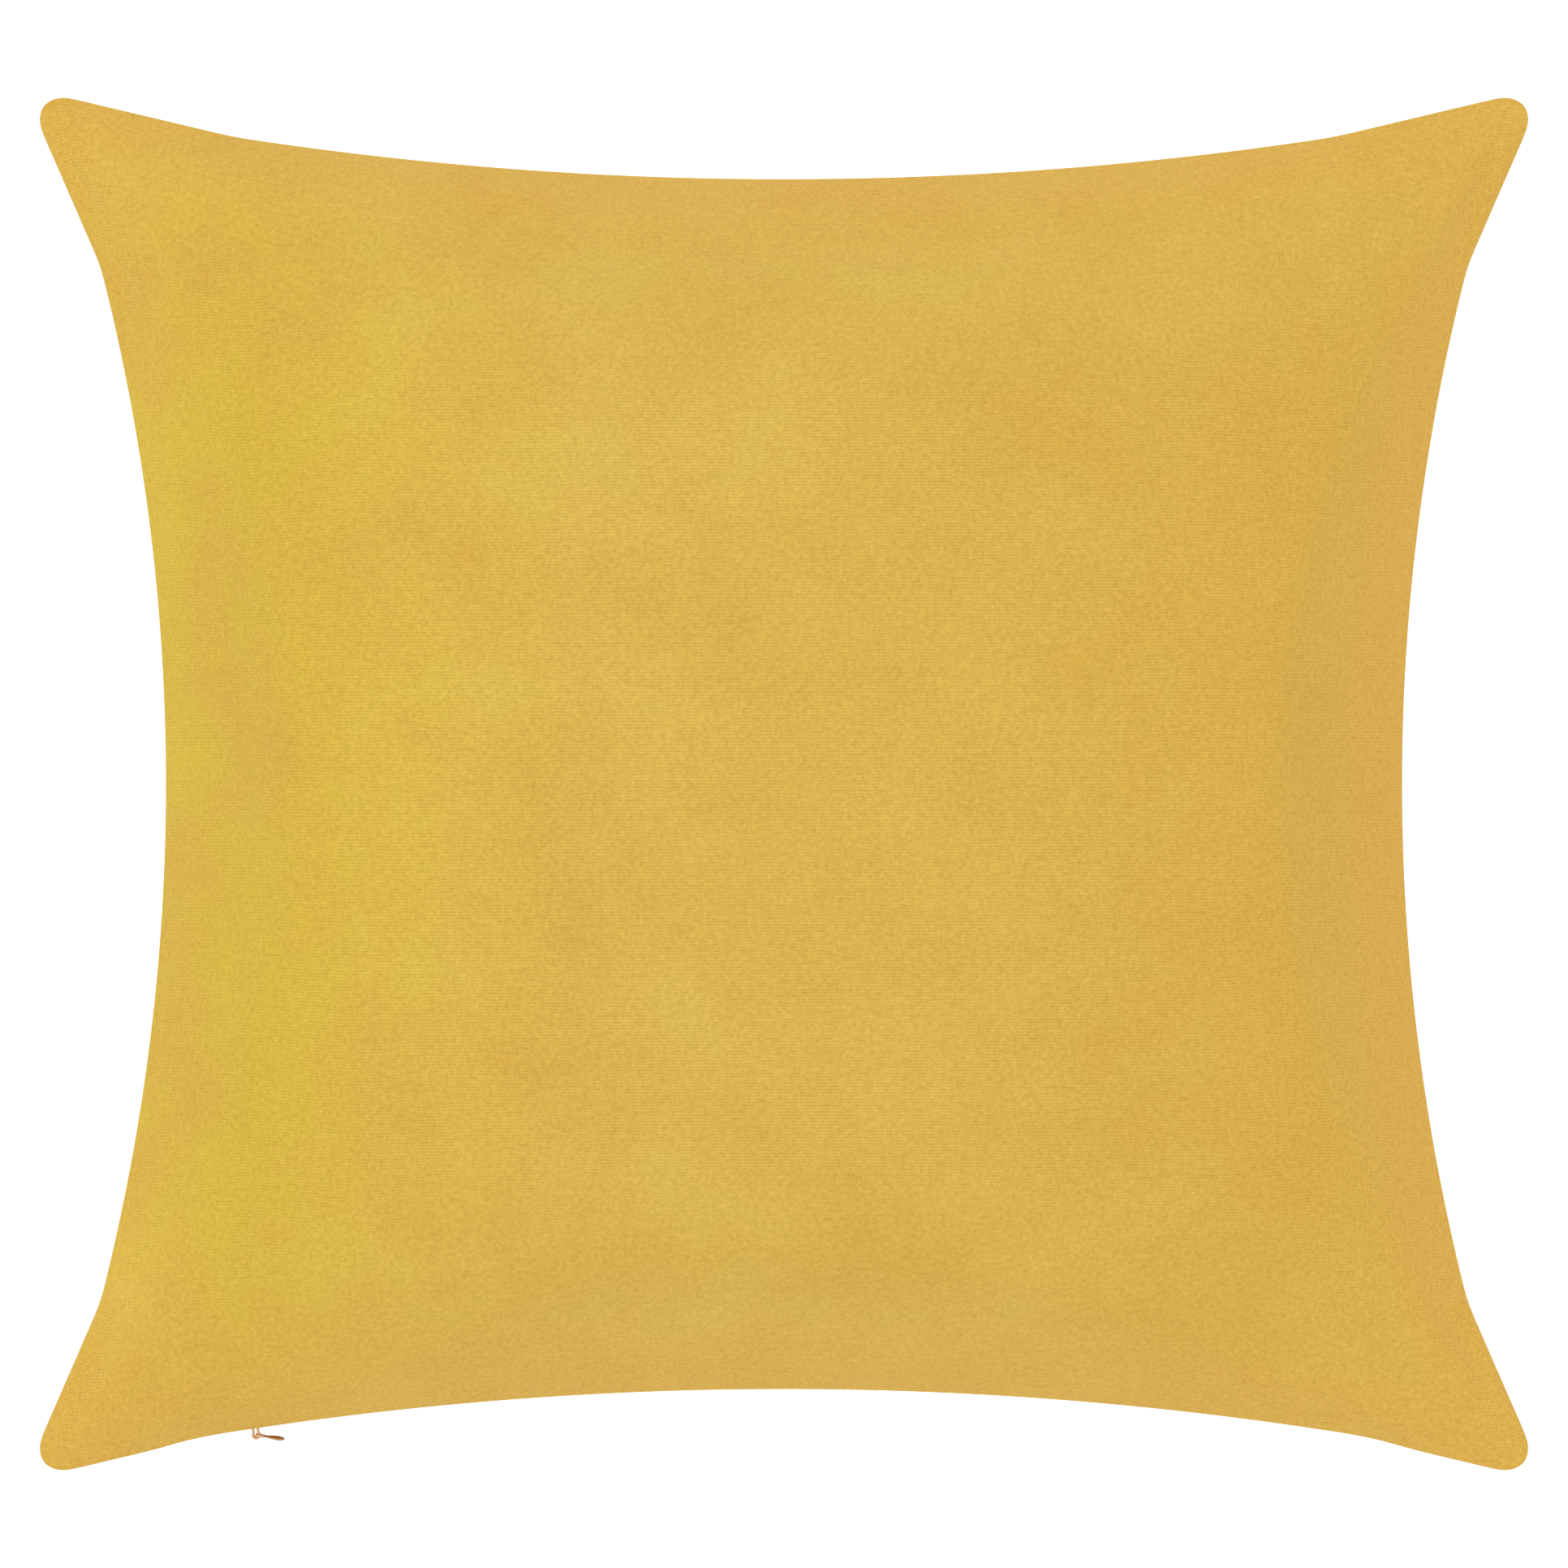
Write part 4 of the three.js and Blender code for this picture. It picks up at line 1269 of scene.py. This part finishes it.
def softened_copy(cad_node, name, body, slot, finish, bevel):
    """A CAD piece's own shape with its edges broken, as cast and plated metal has."""
    work = bmesh.new()
    work.from_mesh(frame["nodes"][cad_node].data)
    bmesh.ops.remove_doubles(work, verts=work.verts, dist=0.002 * MM)
    flat = math.radians(1)
    bmesh.ops.dissolve_limit(work, angle_limit=flat, verts=work.verts, edges=work.edges)
    mesh = bpy.data.meshes.new(name)
    work.to_mesh(mesh)
    work.free()
    made = bpy.data.objects.new(name, mesh)
    collection().objects.link(made)
    shade_smooth(made, BREAK_ANGLE)
    edge = made.modifiers.new("broken_edges", "BEVEL")
    edge.width = bevel
    edge.segments = 2
    edge.limit_method = "ANGLE"
    edge.angle_limit = BREAK_ANGLE
    edge.harden_normals = True
    dress(made, finish)
    finish_piece(made, body, slot, cad_node)


def build_metal(finish):
    softened_copy("slider_body", "slider_cast", "slider", "rose_gold_metal", finish, 0.14 * MM)
    softened_copy("pull_tab", "pull_drop", "pull", "rose_gold_metal", finish, 0.08 * MM)
    for cad_node, name in (
        ("zip_top_stop_front", "top_stop_front_clip"),
        ("zip_top_stop_back", "top_stop_back_clip"),
        ("zip_bottom_stop", "bottom_stop_clip"),
    ):
        softened_copy(cad_node, name, "root", "rose_gold_metal", finish, 0.2 * MM)


# ---------------------------------------------------------------- stage, light and camera
FLOOR_HALF = 30
SKY = 0.88
SEEN_SKY = 1.1  # what shows past the floor's edge, as white as the floor
OVERHEAD = 0.55
OVERHEAD_SPREAD = math.radians(30)
OVERHEAD_TILT = (math.radians(-8), math.radians(-16), 0)
FLOOR_GLOW = 0.6


def build_stage():
    square = [(-1, -1), (1, -1), (1, 1), (-1, 1)]
    corners = [(x * FLOOR_HALF, y * FLOOR_HALF, 0) for x, y in square]
    floor = mesh_object("floor", corners, [(0, 1, 2, 3)])
    made, tree, shader = material("pale_floor")
    shade = speckle(tree, places(tree), 3, detail=2)
    grey = blend(tree, shade, (0.90, 0.90, 0.90), (0.93, 0.93, 0.93))
    tree.links.new(grey, shader.inputs["Base Color"])
    shader.inputs["Roughness"].default_value = 0.9
    shader.inputs["Specular IOR Level"].default_value = 0.1
    shader.inputs["Emission Color"].default_value = (1, 1, 1, 1)
    seen = node(tree, "ShaderNodeLightPath").outputs["Is Camera Ray"]
    tree.links.new(maths(tree, "MULTIPLY", seen, FLOOR_GLOW), shader.inputs["Emission Strength"])
    floor.data.materials.append(made)


def build_light():
    world = bpy.data.worlds.new("soft_studio")
    world.use_nodes = True
    background = world.node_tree.nodes["Background"]
    background.inputs[0].default_value = (1, 1, 1, 1)
    seen = node(world.node_tree, "ShaderNodeLightPath").outputs["Is Camera Ray"]
    strength = spread(world.node_tree, seen, 0, 1, SKY, SEEN_SKY)
    world.node_tree.links.new(strength, background.inputs[1])
    bpy.context.scene.world = world
    sun = bpy.data.lights.new("overhead", "SUN")
    sun.energy = OVERHEAD
    sun.angle = OVERHEAD_SPREAD
    hung = bpy.data.objects.new("overhead", sun)
    hung.rotation_euler = OVERHEAD_TILT
    collection().objects.link(hung)
    for name, place, size, power, colour in (
        ("left_softbox", (-1.6, 0.5, 1.5), 1.4, 3.0, (1.0, 0.98, 0.90)),
        ("right_softbox", (1.7, -0.3, 1.2), 1.4, 2.4, (1.0, 0.93, 0.88)),
    ):
        lamp = bpy.data.lights.new(name, "AREA")
        lamp.shape = "DISK"
        lamp.size = size
        lamp.energy = power
        lamp.color = colour
        made = bpy.data.objects.new(name, lamp)
        made.location = place
        aim = Vector((0, 0, SEAM_Z)) - Vector(place)
        made.rotation_euler = aim.to_track_quat("-Z", "Y").to_euler()
        collection().objects.link(made)


VIEW_WIDTH = 472.25 * MM
LENS = 100
SENSOR = 36


def build_camera():
    """Straight down on the front face, with VIEW_WIDTH of the seam's plane in the frame."""
    lens = bpy.data.cameras.new("camera")
    lens.lens = LENS
    lens.sensor_width = SENSOR
    made = bpy.data.objects.new("camera", lens)
    made.location = (0, 0, SEAM_Z + VIEW_WIDTH * LENS / SENSOR)
    collection().objects.link(made)
    bpy.context.scene.camera = made
    bpy.context.scene.view_settings.view_transform = "Standard"


# ---------------------------------------------------------------- assembly
build_camera()
build_stage()
build_light()

trees = {"thread": thread_tree(), "row": row_tree()}
velvet_finish = velvet()
sewing_thread = spun_thread("mustard_thread", (0.60, 0.38, 0.07), (0.38, 0.22, 0.03))
white_thread = spun_thread("white_thread", (0.88, 0.87, 0.84), (0.62, 0.61, 0.58))
tape_cloth = woven("mustard_tape", (0.60, 0.39, 0.08), (0.40, 0.24, 0.04), 0.5 * MM)
insert_cloth = woven("white_cotton", (0.87, 0.86, 0.83), (0.70, 0.69, 0.66), 0.6 * MM)
metal = rose_gold()

front_face, back_face = cover_faces()
build_cover(front_face, back_face, velvet_finish)
build_insert(front_face, back_face, insert_cloth)
build_fill(front_face, back_face, fibre())
build_seam_threads(sewing_thread, white_thread)
build_closing_stitch(white_thread)
build_tapes(tape_cloth)
build_coils(nylon())
build_zip_stitching(sewing_thread)
build_bar_tacks(sewing_thread)
build_metal(metal)
